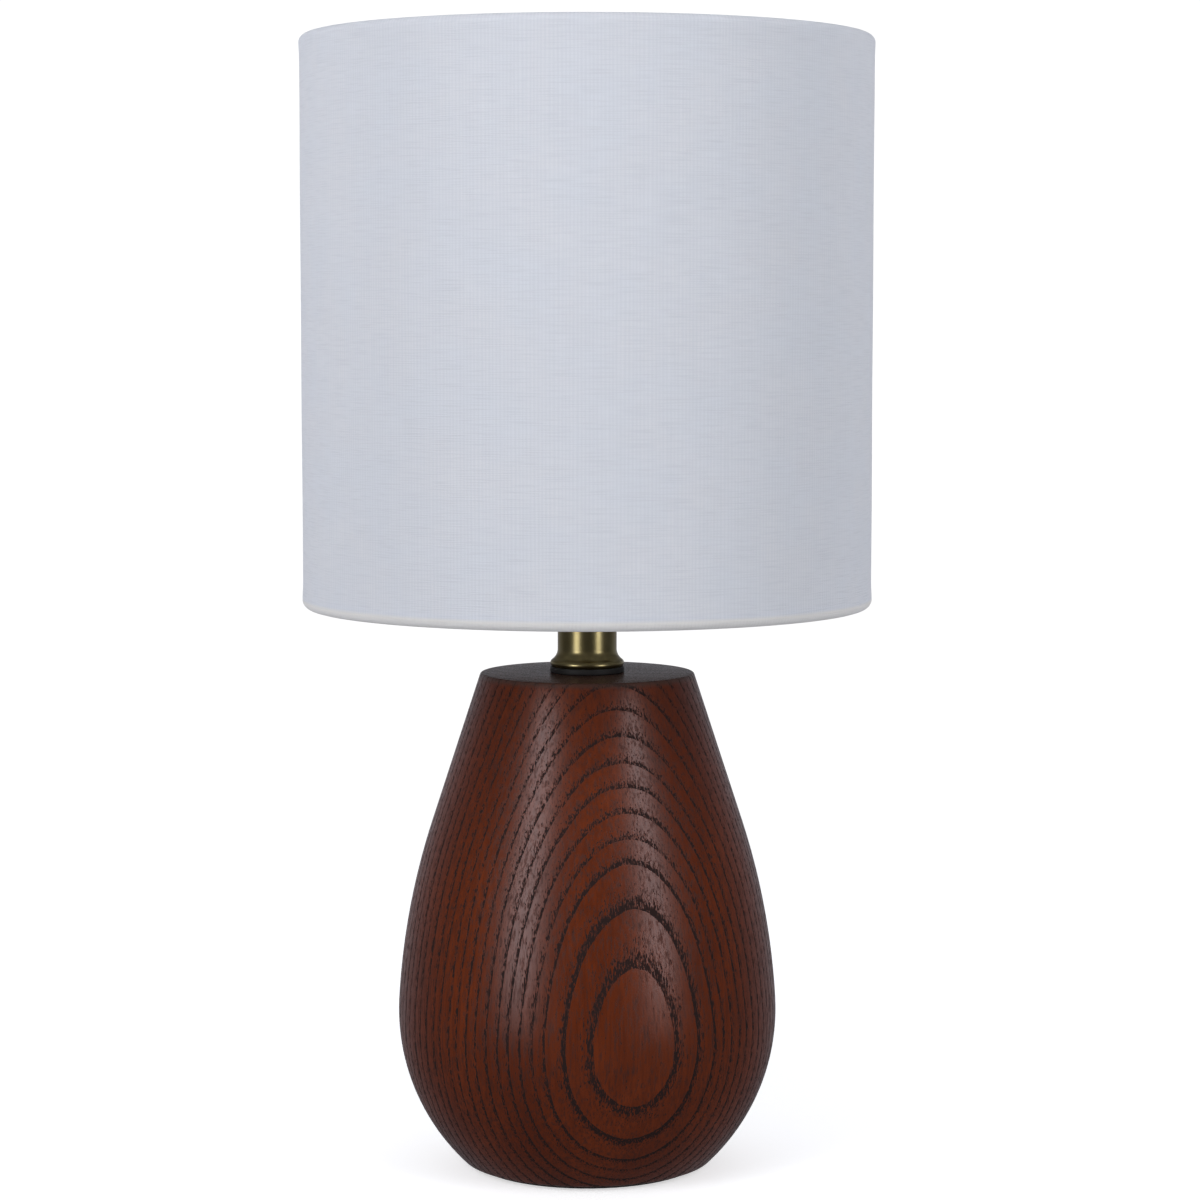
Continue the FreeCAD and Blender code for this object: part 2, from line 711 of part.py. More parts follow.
def socket_cap():
    """The spun cap at the bottom of the socket, and the screw that locks it."""
    body = new_body("socket_cap", z="cap_bottom")
    flat_end = "cap_floor_radius"
    floor = "cap_boss_height + cap_wall"
    revolve(body, "cap_outline", ("pipe_radius + thread_clearance", "0"), [
        ("cap_boss_radius", "0"),
        ("cap_boss_radius", "cap_boss_height"),
        (flat_end, "cap_boss_height"),
        ("cap_radius", "cap_flank_top"),
        ("cap_radius", "cap_height"),
        ("cap_radius - cap_wall", "cap_height"),
        ("cap_radius - cap_wall", "cap_flank_top"),
        (flat_end, floor),
        ("pipe_radius + thread_clearance", floor),
    ])
    hole = sketch_on(body, "set_screw_hole", "YZ_Plane")
    draw_circle(hole, "set_screw_radius + thread_clearance", y="cap_boss_height / 2")
    feature(body, "Pocket", hole, Length="cap_radius", Reversed=True)
    turned("cap_set_screw", ("0", "0"), [
        ("set_screw_radius", "0"),
        ("set_screw_radius", "set_screw_length"),
        ("set_screw_head_radius", "set_screw_length"),
        ("set_screw_head_radius", "set_screw_length + set_screw_head_length"),
        ("0", "set_screw_length + set_screw_head_length"),
    ], x="pipe_radius + thread_clearance", z="cap_bottom + cap_boss_height / 2",
        turn=FreeCAD.Rotation(FreeCAD.Vector(0, 1, 0), 90))


def shaft_slot(body, name, lift):
    """Cuts the open slot that the knob's shaft passes through, at the front of a tube."""
    slot = sketch_on(body, name, "XZ_Plane")
    top = f"{lift} + shaft_slot_width / 2"
    draw_box(slot, "-shaft_slot_width / 2", "shaft_slot_width / 2", "-hole_clearance", top)
    feature(body, "Pocket", slot, Type="ThroughAll", Reversed=True)


def socket_shell():
    """The brass shell, stepped in above the switch, and the paper sleeve inside it."""
    shell = new_body("socket_shell", z="shell_bottom")
    revolve(shell, "shell_outline", ("shell_outer - shell_wall", "0"), [
        ("shell_outer", "0"),
        ("shell_outer", "shell_step_height"),
        ("shell_upper", "shell_step_height + shell_step"),
        ("shell_upper", "shell_height"),
        ("shell_upper - shell_wall", "shell_height"),
        ("shell_upper - shell_wall", "shell_step_height + shell_step"),
        ("shell_outer - shell_wall", "shell_step_height"),
    ])
    shaft_slot(shell, "shell_slot", "shaft_level - shell_bottom")
    paper = new_body("paper_sleeve", z="shell_bottom")
    revolve(paper, "paper_outline", ("paper_outer - paper_thickness", "0"), [
        ("paper_outer", "0"),
        ("paper_outer", "paper_height"),
        ("paper_outer - paper_thickness", "paper_height"),
    ])
    shaft_slot(paper, "paper_slot", "shaft_level - shell_bottom")


def socket_body():
    """The switch block on its foot ring, with the shaft's bore and two terminal pockets."""
    body = new_body("socket_body", z="block_bottom")
    top = "block_foot_height + block_height"
    inner = "block_foot_radius - block_foot_wall"
    revolve(body, "block_outline", (inner, "0"), [
        ("block_foot_radius", "0"),
        ("block_foot_radius", "block_foot_height"),
        ("block_radius", "block_foot_height"),
        ("block_radius", top),
        ("0", top),
        ("0", "block_foot_height"),
        (inner, "block_foot_height"),
    ])
    bore = sketch_on(body, "shaft_bore", "XZ_Plane", offset="-shaft_bore_depth")
    draw_circle(bore, "shaft_bore_radius", y="shaft_level - block_bottom")
    feature(body, "Pocket", bore, Type="ThroughAll", Reversed=True)
    pocket = sketch_on(
        body, "terminal_pocket", "YZ_Plane", offset="block_radius - terminal_depth")
    middle = "shaft_level - block_bottom"
    draw_box(pocket, "-terminal_pocket_width / 2", "terminal_pocket_width / 2",
             f"{middle} - terminal_pocket_height / 2", f"{middle} + terminal_pocket_height / 2")
    cut = feature(body, "Pocket", pocket, Type="ThroughAll", Reversed=True)
    repeat(body, cut, 2)


def terminal_screws():
    """One slotted screw head in each terminal pocket."""
    seat = "block_radius - terminal_depth"
    head = doc.addObject("Part::Cylinder", "terminal_head")
    bind(head, Radius="terminal_head_radius", Height="terminal_head_thickness")
    place(head, x=seat, z="shaft_level",
          turn=FreeCAD.Rotation(FreeCAD.Vector(0, 1, 0), 90))
    slot = doc.addObject("Part::Box", "terminal_slot")
    bind(slot, Length="2 * terminal_slot_depth", Width="4 * terminal_head_radius",
         Height="terminal_slot_width")
    place(slot, x=f"{seat} + terminal_head_thickness - terminal_slot_depth",
          y="-2 * terminal_head_radius", z="shaft_level - terminal_slot_width / 2")
    right = doc.addObject("Part::Cut", "terminal_screw")
    right.Base = head
    right.Tool = slot
    left = doc.addObject("Part::Mirroring", "terminal_screw_mirror")
    left.Source = right
    left.Normal = FreeCAD.Vector(1, 0, 0)
    pair = doc.addObject("Part::Compound", "terminal_pair")
    pair.Links = [right, left]
    keep(pair, "terminal_screws")


def screw_shell():
    """The lamp holder's screw shell and the sprung centre contact under it."""
    outer = "screw_shell_inner + screw_shell_wall"
    turned("screw_shell", ("screw_shell_floor_hole_radius", "0"), [
        (outer, "0"),
        (outer, "screw_shell_height"),
        ("screw_shell_inner", "screw_shell_height"),
        ("screw_shell_inner", "screw_shell_wall"),
        ("screw_shell_floor_hole_radius", "screw_shell_wall"),
    ], z="block_top")
    body = new_body("centre_contact", z="block_top")
    thick = "contact_strip_thickness"
    strip = sketch_on(body, "strip_outline", "XZ_Plane")
    foot = "(contact_reach - contact_foot_length)"
    draw(strip, ("contact_reach", "0"), [
        ("contact_reach", thick),
        (foot, thick),
        ("contact_tip_length / 2", f"contact_rise + {thick}"),
        ("-contact_tip_length / 2", f"contact_rise + {thick}"),
        ("-contact_tip_length / 2", "contact_rise"),
        ("contact_tip_length / 2 - contact_strip_thickness / 2", "contact_rise"),
        (f"{foot} - contact_strip_thickness / 2", "0"),
    ])
    feature(body, "Pad", strip, Length="contact_strip_width", SideType="Symmetric")


def switch_knob():
    """The fluted knob and its shaft, drawn upwards and turned to the front."""
    front = FreeCAD.Rotation(FreeCAD.Vector(1, 0, 0), 90)
    turned("switch_shaft", ("0", "-shaft_inner_length"), [
        ("shaft_radius", "-shaft_inner_length"),
        ("shaft_radius", "knob_start + knob_bore_depth - seat_clearance"),
        ("0", "knob_start + knob_bore_depth - seat_clearance"),
    ], z="shaft_level", turn=front)
    body = new_body("switch_knob", y="-knob_start", z="shaft_level", turn=front)
    bore = "shaft_radius + thread_clearance"
    revolve(body, "knob_outline", (bore, "0"), [
        ("knob_collar_radius", "0"),
        ("knob_collar_radius", "knob_collar_length"),
        ("knob_radius", "knob_collar_length"),
        ("knob_radius", "knob_length - knob_crown"),
        ("knob_radius - knob_crown", "knob_length"),
        ("0", "knob_length"),
        ("0", "knob_bore_depth"),
        (bore, "knob_bore_depth"),
    ])
    flute = sketch_on(body, "knob_flute", "XY_Plane")
    draw_circle(flute, "knob_flute_radius", x="knob_radius + knob_flute_radius / 3")
    cut = feature(body, "Pocket", flute, Type="ThroughAll", SideType="Symmetric")
    repeat(body, cut, KNOB_FLUTES)


def bulb():
    """The bulb's frosted globe, screw cap, insulator and contact."""
    inner = "bulb_thread_radius - bulb_cap_wall"
    throat = "insulator_radius"
    turned("bulb_screw_cap", (throat, "0"), [
        ("bulb_thread_radius", "bulb_cap_taper"),
        ("bulb_thread_radius", "bulb_cap_height"),
        (inner, "bulb_cap_height"),
        (inner, "bulb_cap_taper + bulb_cap_wall"),
        (throat, "bulb_cap_wall"),
    ], z="bulb_cap_bottom")
    turned("bulb_insulator", ("0", "0"), [
        ("insulator_tip_radius", "0"),
        (throat, "insulator_height"),
        (throat, "insulator_height + bulb_cap_wall"),
        ("0", "insulator_height + bulb_cap_wall"),
    ], z="insulator_bottom")
    turned("bulb_contact", ("0", "0"), [
        ("bulb_contact_radius - bulb_contact_height / 2", "0"),
        ("bulb_contact_radius", "bulb_contact_height"),
        ("0", "bulb_contact_height"),
    ], z="bulb_bottom")
    turned("bulb_globe", ("0", "-bulb_cap_height / 2"), [
        ("bulb_neck_radius", "-bulb_cap_height / 2"),
        ("bulb_neck_radius", "0"),
        ("flank_radius", "flank_height"),
        ("bulb_radius", "bulb_drop", "bulb_radius", "left"),
        ("0", "bulb_drop + bulb_radius", "bulb_radius", "left"),
    ], z="bulb_cap_top")


def shade_rings():
    """The two wire rings inside the rims of the shade."""
    for label, level in (("top_ring", "ring_top_level"), ("bottom_ring", "ring_bottom_level")):
        body = new_body(label, z=level)
        section = sketch_on(body, f"{label}_section", "XZ_Plane")
        draw_octagon(section, "ring_wire_radius", x="ring_centre_radius")
        feature(body, "Revolution", section, ReferenceAxis=(section, ["V_Axis"]))


def shade_spider():
    """The hub washer and the bent arms that rise from it to the top ring."""
    tube("spider_hub", "post_radius + hole_clearance", "hub_radius", "hub_thickness",
         z="hub_bottom")
    for place_in_turn, side in enumerate(ARM_SIDES):
        spider_arm(f"spider_arm_{side}", 360 / len(ARM_SIDES) * place_in_turn)


def spider_arm(label, angle):
    """One arm: a bent wire with a flat on the hub and an end that meets the ring."""
    body = new_body(
        label, z="hub_bottom", turn=FreeCAD.Rotation(FreeCAD.Vector(0, 0, 1), angle))
    path = sketch_on(body, f"{label}_path", "YZ_Plane")
    draw(path, ("arm_start", "arm_level"), [
        ("arm_bend_distance - arm_bend_length", "arm_level"),
        ("arm_bend_distance + arm_bend_length * arm_run / arm_slope",
         "arm_level + arm_bend_length * arm_rise / arm_slope", "arm_bend_radius", "left"),
        ("ring_centre_radius", "arm_level + arm_rise"),
    ], closed=False)
    section = sketch_on(body, f"{label}_section", "XZ_Plane", offset="-arm_start")
    draw_circle(section, "arm_radius", y="arm_level")
    feature(body, "AdditivePipe", section, Spine=path)
    flat = sketch_on(body, f"{label}_flat", "YZ_Plane")
    draw_box(flat, "0", "hub_radius", "0", "hub_thickness")
    feature(body, "Pocket", flat, Type="ThroughAll", SideType="Symmetric")
    trim = sketch_on(body, f"{label}_trim", "XZ_Plane")
    draw_box(trim, "ring_centre_radius - ring_wire_radius * cos(22.5)",
             "ring_centre_radius + arm_radius", "arm_level + arm_rise - 2 * arm_radius",
             "arm_level + arm_rise + 2 * arm_radius")
    feature(body, "Groove", trim, ReferenceAxis=(trim, ["V_Axis"]))


def shade_cloth():
    """The stiff liner and the fabric, which is turned in over both rings."""
    tube("shade_liner", "liner_inner", "liner_outer", "ring_top_level - ring_bottom_level",
         z="ring_bottom_level")
    body = new_body("shade_fabric")
    high = "shade_top - fabric_thickness"
    low = "shade_bottom + fabric_thickness"
    revolve(body, "fabric_outline", ("liner_outer", low), [
        ("liner_outer", high),
        ("hem_outer", high),
        ("hem_outer", "shade_top - hem_depth"),
        ("hem_inner", "shade_top - hem_depth"),
        ("hem_inner", "shade_top - rim_bevel"),
        ("hem_inner + rim_bevel", "shade_top"),
        ("shade_radius - rim_bevel", "shade_top"),
        ("shade_radius", "shade_top - rim_bevel"),
        ("shade_radius", "shade_bottom + rim_bevel"),
        ("shade_radius - rim_bevel", "shade_bottom"),
        ("hem_inner + rim_bevel", "shade_bottom"),
        ("hem_inner", "shade_bottom + rim_bevel"),
        ("hem_inner", "shade_bottom + hem_depth"),
        ("hem_outer", "shade_bottom + hem_depth"),
        ("hem_outer", low),
    ])
    slot = sketch_on(body, "arm_slot", "XZ_Plane")
    reach = "arm_radius + arm_slot_clearance"
    draw_box(slot, f"-({reach})", reach, "shade_top - hem_depth - hole_clearance",
             f"ring_top_level + {reach} / 2")
    cut = feature(body, "Pocket", slot, Length="ring_centre_radius")
    repeat(body, cut, len(ARM_SIDES))


def check_document():
    """Stops if any object failed or any sub-part isn't a sound solid."""
    failed = [item.Name for item in doc.Objects if {"Invalid", "Error"} & set(item.State)]
    if failed:
        raise RuntimeError(f"these objects failed: {failed}")
    for part in parts:
        if part.Shape.isNull() or not part.Shape.isValid() or not part.Shape.Solids:
            raise RuntimeError(f"{part.Label} isn't a valid solid")


def export_parts():
    """Writes one STEP file for each sub-part."""
    os.makedirs("parts", exist_ok=True)
    for part in parts:
        part.Shape.exportStep(f"parts/{part.Label}.step")
        print(part.Label, len(part.Shape.Solids), round(part.Shape.Volume))


for make in (
        wood_base, felt_pad, cord_bushing, pipe_and_fasteners, neck, harp_saddle, harp_wire,
        harp_sleeves, harp_stud, finial, socket_cap, socket_shell, socket_body,
        terminal_screws, screw_shell, switch_knob, bulb, shade_rings, shade_spider,
        shade_cloth):
    make()
doc.recompute()
check_document()
export_parts()
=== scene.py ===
import json
from functools import partial
from math import acos, atan, cos, hypot, pi, radians, sin, sqrt
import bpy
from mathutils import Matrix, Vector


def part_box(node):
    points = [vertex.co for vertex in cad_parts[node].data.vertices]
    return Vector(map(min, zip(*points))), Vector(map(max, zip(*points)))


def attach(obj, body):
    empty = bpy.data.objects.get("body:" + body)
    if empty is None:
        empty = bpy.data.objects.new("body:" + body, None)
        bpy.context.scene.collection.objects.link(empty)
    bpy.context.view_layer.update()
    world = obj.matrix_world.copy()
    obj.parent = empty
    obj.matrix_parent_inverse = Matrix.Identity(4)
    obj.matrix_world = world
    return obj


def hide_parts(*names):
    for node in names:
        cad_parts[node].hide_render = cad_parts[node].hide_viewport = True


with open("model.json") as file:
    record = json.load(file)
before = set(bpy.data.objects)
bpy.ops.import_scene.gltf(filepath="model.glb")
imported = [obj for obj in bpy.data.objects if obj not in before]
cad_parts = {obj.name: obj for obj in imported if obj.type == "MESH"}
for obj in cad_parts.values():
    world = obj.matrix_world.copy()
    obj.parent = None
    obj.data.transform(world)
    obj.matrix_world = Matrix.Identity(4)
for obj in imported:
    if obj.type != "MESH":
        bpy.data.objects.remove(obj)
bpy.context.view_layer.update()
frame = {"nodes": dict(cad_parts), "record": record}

from types import SimpleNamespace

import bmesh
import bpy
import numpy as np
from bpy.props import FloatProperty, FloatVectorProperty, PointerProperty

# A small table lamp in the frame of its CAD model: +Z is up, the foot stands at the
# origin and the lamp is seen from -Y. Shapes are worked out in millimetres.

bl_info = {
    "name": "Table lamp",
    "version": (1, 0, 0),
    "blender": (4, 5, 0),
    "location": "3D View > Sidebar > Lamp",
    "description": "Dresses a packed table lamp in its visible surfaces and finishes",
    "category": "Object",
}

MM = 0.001
ARM_ANGLES = {"back": 90, "left": 210, "right": 330}

# The body that each CAD node rides on and the slot of its finish, from the record
BODIES = {node: body for body, nodes in frame["record"]["behaviour"]["bodies"].items()
          for node in nodes}
SLOTS = {part["node"]: part["material_slot"] for part in frame["record"]["subparts"]}


def linear(code):
    """Linear red, green and blue of an sRGB hex value."""
    parts = [int(code[at:at + 2], 16) / 255 for at in (1, 3, 5)]
    return tuple(
        part / 12.92 if part <= 0.04045 else ((part + 0.055) / 1.055) ** 2.4 for part in parts)


def length(name, description, millimetres):
    """A length property with its default in millimetres."""
    return FloatProperty(name=name, description=description, default=millimetres * MM,
                         min=0, unit="LENGTH", precision=5)


def share(name, description, default):
    """A property between nothing and all."""
    return FloatProperty(name=name, description=description, default=default,
                         min=0, max=1, subtype="FACTOR")


def colour(name, description, code):
    """A colour property with its default as an sRGB hex value."""
    return FloatVectorProperty(name=name, description=description, default=linear(code),
                               size=3, min=0, max=1, subtype="COLOR")


class LampSizes(bpy.types.PropertyGroup):
    """Sizes of the visible pieces that their CAD boxes don't give."""
    belly_radius: length("Belly radius", "Widest radius of the wood base", 68.16)
    belly_height: length("Belly height", "Height of the widest place above the foot", 54.7)
    belly_rise: length("Belly rise", "Height from the widest place to the turn in curve", 4.5)
    foot_radius: length("Foot radius", "Radius of the foot of the wood base", 44.6)
    base_top_radius: length("Base top radius", "Radius of the top of the wood base", 38.3)
    shoulder_straight: share("Straight shoulder", "Part of the shoulder that is straight", 0.4644)
    recess_radius: length("Recess radius", "Radius of the recess in the foot", 30)
    recess_depth: length("Recess depth", "Depth of the recess in the foot", 22)
    base_edge: length("Base edge", "Rounding of the edges of the wood base", 0.8)
    neck_radius: length("Neck radius", "Radius of the brass neck", 10.6)
    bead_width: length("Bead width", "How far the bead of the neck bulges", 0.65)
    bead_height: length("Bead height", "Height of the bead of the neck", 2.5)
    cove_height: length("Cove height", "Height of the bead and the cove above it", 6.35)
    leg_spacing: length("Leg spacing", "From the middle to a leg of the harp", 26.5)
    leg_length: length("Leg length", "Straight length of a leg of the harp", 20)
    loop_radius: length("Loop radius", "Radius of the round top of the harp", 52)
    loop_flare: share("Loop flare", "Part of the harp's sides that the S-bends take", 0.735)
    wire_radius: length("Wire radius", "Radius of the harp and ring wires", 1.6)
    arm_radius: length("Arm radius", "Radius of the arms of the spider", 1.5)
    arm_bend: length("Arm bend", "Distance of the arms' bend from the axis", 24)
    arm_bend_radius: length("Arm bend radius", "Radius of the arms' bend", 12)
    fabric_thickness: length("Fabric thickness", "Thickness of the shade fabric", 0.4)
    hem_depth: length("Hem depth", "Depth of the hem turned in at the rims", 12)
    thread_spacing: length("Thread spacing", "From one slub thread to the next", 1.28)
    screw_pitch: length("Screw pitch", "Rise of the bulb's thread in a turn", 3.63)


class LampColours(bpy.types.PropertyGroup):
    """Colours of the finishes that show most."""
    stain: colour("Stain", "Stained wood between the growth rings", "#62280D")
    pores: colour("Pores", "Stain gathered in the pores", "#180A07")
    brass: colour("Brass", "Antiqued brass of the neck and finial", "#968B65")
    patina: colour("Patina", "Dark bronze left in the brass", "#7D6D42")
    linen: colour("Linen", "White cloth of the shade", "#DEE0E5")
    floor: colour("Floor", "Pale floor of the stage", "#F4F4F3")


def in_mm():
    """The sizes in millimetres, by name."""
    group = bpy.context.scene.lamp_sizes
    return SimpleNamespace(
        **{name: getattr(group, name) / MM for name in LampSizes.__annotations__},
        share=group)


def corners(node):
    """The lowest and the highest corner of a CAD node, in millimetres."""
    low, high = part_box(node)
    return np.array(low) / MM, np.array(high) / MM


def joined(*runs):
    """One outline from points and runs of points, without doubled points."""
    points = np.vstack([np.atleast_2d(np.asarray(run, float)) for run in runs])
    fresh = np.r_[True, np.hypot(*np.diff(points, axis=0).T) > 1e-6]
    return points[fresh]


def arc(first, last, radius, side, steps=24):
    """Points on a circle from first to last, with its centre left or right of the way.

    The centre lies on the middle line of the chord, and the angle grows evenly.
    """
    first, last = np.array(first, float), np.array(last, float)
    chord = last - first
    across = np.array((-chord[1], chord[0])) / hypot(*chord) * (1 if side == "left" else -1)
    centre = (first + last) / 2 + across * sqrt(max(radius ** 2 - (chord @ chord) / 4, 0))
    start = np.arctan2(*(first - centre)[::-1])
    turn = np.arctan2(*(last - centre)[::-1]) - start
    turn = (turn + pi) % (2 * pi) - pi
    angles = start + turn * np.linspace(0, 1, steps + 1)
    return centre + radius * np.stack([np.cos(angles), np.sin(angles)], -1)


def softened(points, radius, closed=True, steps=4):
    """Rounds the corners of an outline that turn by more than 20 degrees.

    Both edges at a corner are cut back by the radius, at most by 45% of their length,
    and the cuts are joined by the quadratic curve (1-t)^2 A + 2t(1-t) B + t^2 C.
    """
    into, out = points - np.roll(points, 1, axis=0), np.roll(points, -1, axis=0) - points
    into_length, out_length = np.hypot(*into.T)[:, None], np.hypot(*out.T)[:, None]
    into, out = into / into_length, out / out_length
    bend = np.arccos(np.clip((into * out).sum(1, keepdims=True), -1, 1))
    back = np.minimum(radius, 0.45 * np.minimum(into_length, out_length)) * (bend > radians(20))
    if not closed:
        back[[0, -1]] = 0
    t = np.linspace(0, 1, steps + 1)[None, :, None]
    curve = ((1 - t) ** 2 * (points - into * back)[:, None] + 2 * t * (1 - t) * points[:, None]
             + t ** 2 * (points + out * back)[:, None])
    return joined(curve.reshape(-1, 2))


def divided(points, step):
    """The same outline with points no further apart than the step."""
    along = np.r_[0, np.cumsum(np.hypot(*np.diff(points, axis=0).T))]
    count = np.maximum(1, np.ceil(np.diff(along) / step)).astype(int)
    part = np.arange(count.sum()) - np.repeat(np.cumsum(count) - count, count)
    at = np.repeat(along[:-1], count) + part * np.repeat(np.diff(along) / count, count)
    at = np.r_[at, along[-1]]
    return np.stack([np.interp(at, along, points[:, 0]), np.interp(at, along, points[:, 1])], -1)


def about_z(radius, angle, height):
    """Points about Z: the one with radius r, angle a and height z is (r cos a, r sin a, z)."""
    return np.stack([radius * np.cos(angle), radius * np.sin(angle), height + 0 * angle], -1)


def turned(outline, columns, shape=None):
    """Turns an outline of radius and height about Z, in even steps of the angle.

    A shape function of radius, height and angle may give the radius another value at
    each point.
    """
    angle = np.linspace(0, 2 * pi, columns, endpoint=False)[None]
    radius, height = outline[:, :1], outline[:, 1:]
    radius = shape(radius, height, angle) if shape else radius + 0 * angle
    return about_z(radius, angle, height)


def wire(path, radius, normal, closed=False, columns=20, bevel=0.3):
    """Carries a circle along a flat path.

    A point is the path's point plus radius times (cos a of the inward direction plus
    sin a of the path plane's normal). Open ends are bevelled and closed to a point.
    """
    step = np.roll(path, -1, axis=0) - np.roll(path, 1, axis=0)
    if not closed:
        step[0], step[-1] = path[1] - path[0], path[-1] - path[-2]
    tangent = step / np.linalg.norm(step, axis=1, keepdims=True)
    normal = np.array(normal, float)
    side = np.cross(normal, tangent)
    size = np.full(len(path), radius)
    if not closed:
        path = np.vstack([path[:1], path[:1], path[:1] + tangent[:1] * bevel, path[1:-1],
                          path[-1:] - tangent[-1:] * bevel, path[-1:], path[-1:]])
        side = np.vstack([side[:1]] * 3 + [side[1:-1]] + [side[-1:]] * 3)
        size = np.r_[0, radius - bevel, radius, size[1:-1], radius, radius - bevel, 0]
    angle = np.linspace(0, 2 * pi, columns, endpoint=False)[None, :, None]
    return path[:, None] + size[:, None, None] * (
        np.cos(angle) * side[:, None] + np.sin(angle) * normal)


def ramp(distance, width):
    """Rises evenly from 0, at no distance, to 1, at a width."""
    return np.clip(distance / width, 0, 1)


def helix(height, angle, pitch):
    """How deep a thread is at a point, from 0 to 1: 1/2 - 1/2 cos(2 pi z / pitch - a)."""
    return 0.5 - 0.5 * np.cos(2 * pi * height / pitch - angle)


def laid(points, way, level):
    """Lays a shape that points up so that it points back, +Y, front, -Y, or aside, +X.

    Its axis then lies at a level, and what was its height is its distance from Z.
    """
    x, y, z = np.moveaxis(points, -1, 0)
    return np.stack({"back": (x, z, level - y), "front": (x, -z, level + y),
                     "side": (z, y, level + x)}[way], -1)


def grid_mesh(name, points, closed=True, uv=None, smooth=35):
    """Makes a mesh of quads between the rows and columns of a grid of points.

    The columns close round the shape, and the rows too where it is closed. The UV
    grid has one column more, so that the map has no seam that runs back.
    """
    rows, columns = points.shape[:2]
    row = np.arange(rows - 1 + closed)[:, None, None] + np.array([0, 0, 1, 1])
    column = np.arange(columns)[None, :, None] + np.array([0, 1, 1, 0])
    faces = (row % rows * columns + column % columns).reshape(-1, 4)
    mesh = bpy.data.meshes.new(name)
    mesh.from_pydata(points.reshape(-1, 3) * MM, [], faces)
    if uv is not None:
        layer = mesh.uv_layers.new(name="UVMap")
        layer.uv.foreach_set("vector", (uv[row, column] * MM).ravel())
    body = bmesh.new()
    body.from_mesh(mesh)
    bmesh.ops.remove_doubles(body, verts=body.verts, dist=1e-6 * MM)
    bmesh.ops.recalc_face_normals(body, faces=body.faces)
    body.to_mesh(mesh)
    body.free()
    return shaded(mesh, smooth)


def shaded(mesh, smooth=35):
    """Shades a mesh smooth, apart from edges sharper than an angle in degrees."""
    mesh.shade_smooth()
    mesh.set_sharp_from_angle(angle=radians(smooth))
    return mesh


def cad_copy(node):
    """A copy of a CAD node's triangles, merged into faces."""
    mesh = bpy.data.meshes.new(node)
    body = bmesh.new()
    body.from_mesh(frame["nodes"][node].data)
    bmesh.ops.remove_doubles(body, verts=body.verts, dist=0.001 * MM)
    bmesh.ops.dissolve_limit(body, angle_limit=radians(0.5), verts=body.verts, edges=body.edges)
    body.to_mesh(mesh)
    body.free()
    return shaded(mesh, 25)


def placed(name, data):
    """A new object in the scene that shows a mesh, a light or a camera."""
    made = bpy.data.objects.new(name, data)
    bpy.context.scene.collection.objects.link(made)
    return made


def piece(name, shape, node, **how):
    """Puts a piece into the scene in place of a CAD node, on its body and in its slot.

    Its shape is a mesh, or a grid of points that grid_mesh turns into one.
    """
    mesh = grid_mesh(name, shape, **how) if isinstance(shape, np.ndarray) else shape
    made = placed(name, mesh)
    mesh.materials.clear()
    mesh.materials.append(finish(SLOTS[node]))
    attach(made, BODIES[node])
    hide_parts(node)
    return made


def rounded(made, width):
    """Gives a piece's edges a narrow bevel."""
    edges = made.modifiers.new("edges", "BEVEL")
    edges.width = width * MM
    edges.segments = 2
    edges.limit_method = "ANGLE"
    edges.angle_limit = radians(35)
    edges.harden_normals = False


def cut(made, points):
    """Takes the space inside a grid of points, closed at both ends, out of a piece."""
    tool = placed("tool", grid_mesh("tool", points, closed=False))
    difference = made.modifiers.new("cut", "BOOLEAN")
    difference.operation = "DIFFERENCE"
    difference.solver = "EXACT"
    difference.object = tool
    graph = bpy.context.evaluated_depsgraph_get()
    mesh = bpy.data.meshes.new_from_object(made.evaluated_get(graph))
    made.modifiers.clear()
    made.data = shaded(mesh)
    bpy.data.objects.remove(tool)


def block(low, high):
    """A box between two corners: a ring of four corners along Y, closed at its ends."""
    corner = np.array([(low[0], low[2]), (high[0], low[2]), (high[0], high[2]), (low[0], high[2])])
    middle = corner.mean(0) + 0 * corner
    rows = ((middle, low[1]), (corner, low[1]), (corner, high[1]), (middle, high[1]))
    return np.stack([np.insert(place, 1, y, axis=1) for place, y in rows])


def dress(*nodes):
    """Gives CAD nodes that stay in view the finishes of their slots."""
    for node in nodes:
        holder = frame["nodes"][node]
        if not holder.material_slots:
            holder.data.materials.append(None)
        for place in holder.material_slots:
            place.material = finish(SLOTS[node])


def add(tree, kind, *values, inputs=(), stops=(), **settings):
    """Adds a node with its settings, and sets or links its inputs.

    A second word in kind is the node's operation, or the data type of a Mix, and kind
    may be an operation of Math alone. The values fill the sockets that the settings
    leave in use, in their order, and inputs fills more of them by name. A node given
    as a value stands for its first output in use, and a text for a colour: it is a hex
    value or the name of a colour property. Stops are the places and levels of a ramp.
    """
    kind, *mode = kind.split() if not kind.isupper() else ("Math", kind)
    made = tree.nodes.new("ShaderNode" + kind)
    mode = zip(["data_type" if kind == "Mix" else "operation"], mode)
    for name, setting in (*mode, *settings.items()):
        setattr(made, name, setting)
    for at, (place, level) in enumerate(stops):
        stop = made.color_ramp.elements[at] if at < 2 else made.color_ramp.elements.new(place)
        stop.position, stop.color = place, (level, level, level, 1)
    filled = list(zip((socket for socket in made.inputs if socket.enabled), values))
    filled += [(made.inputs[name], value) for name, value in dict(inputs).items()]
    for socket, value in filled:
        if isinstance(value, str):
            colours = bpy.context.scene.lamp_colours
            value = (*(linear(value) if value[0] == "#" else getattr(colours, value)), 1)
        if isinstance(value, bpy.types.Node):
            value = next(output for output in value.outputs if output.enabled)
        if isinstance(value, bpy.types.NodeSocket):
            tree.links.new(value, socket)
        else:
            socket.default_value = value
    return made


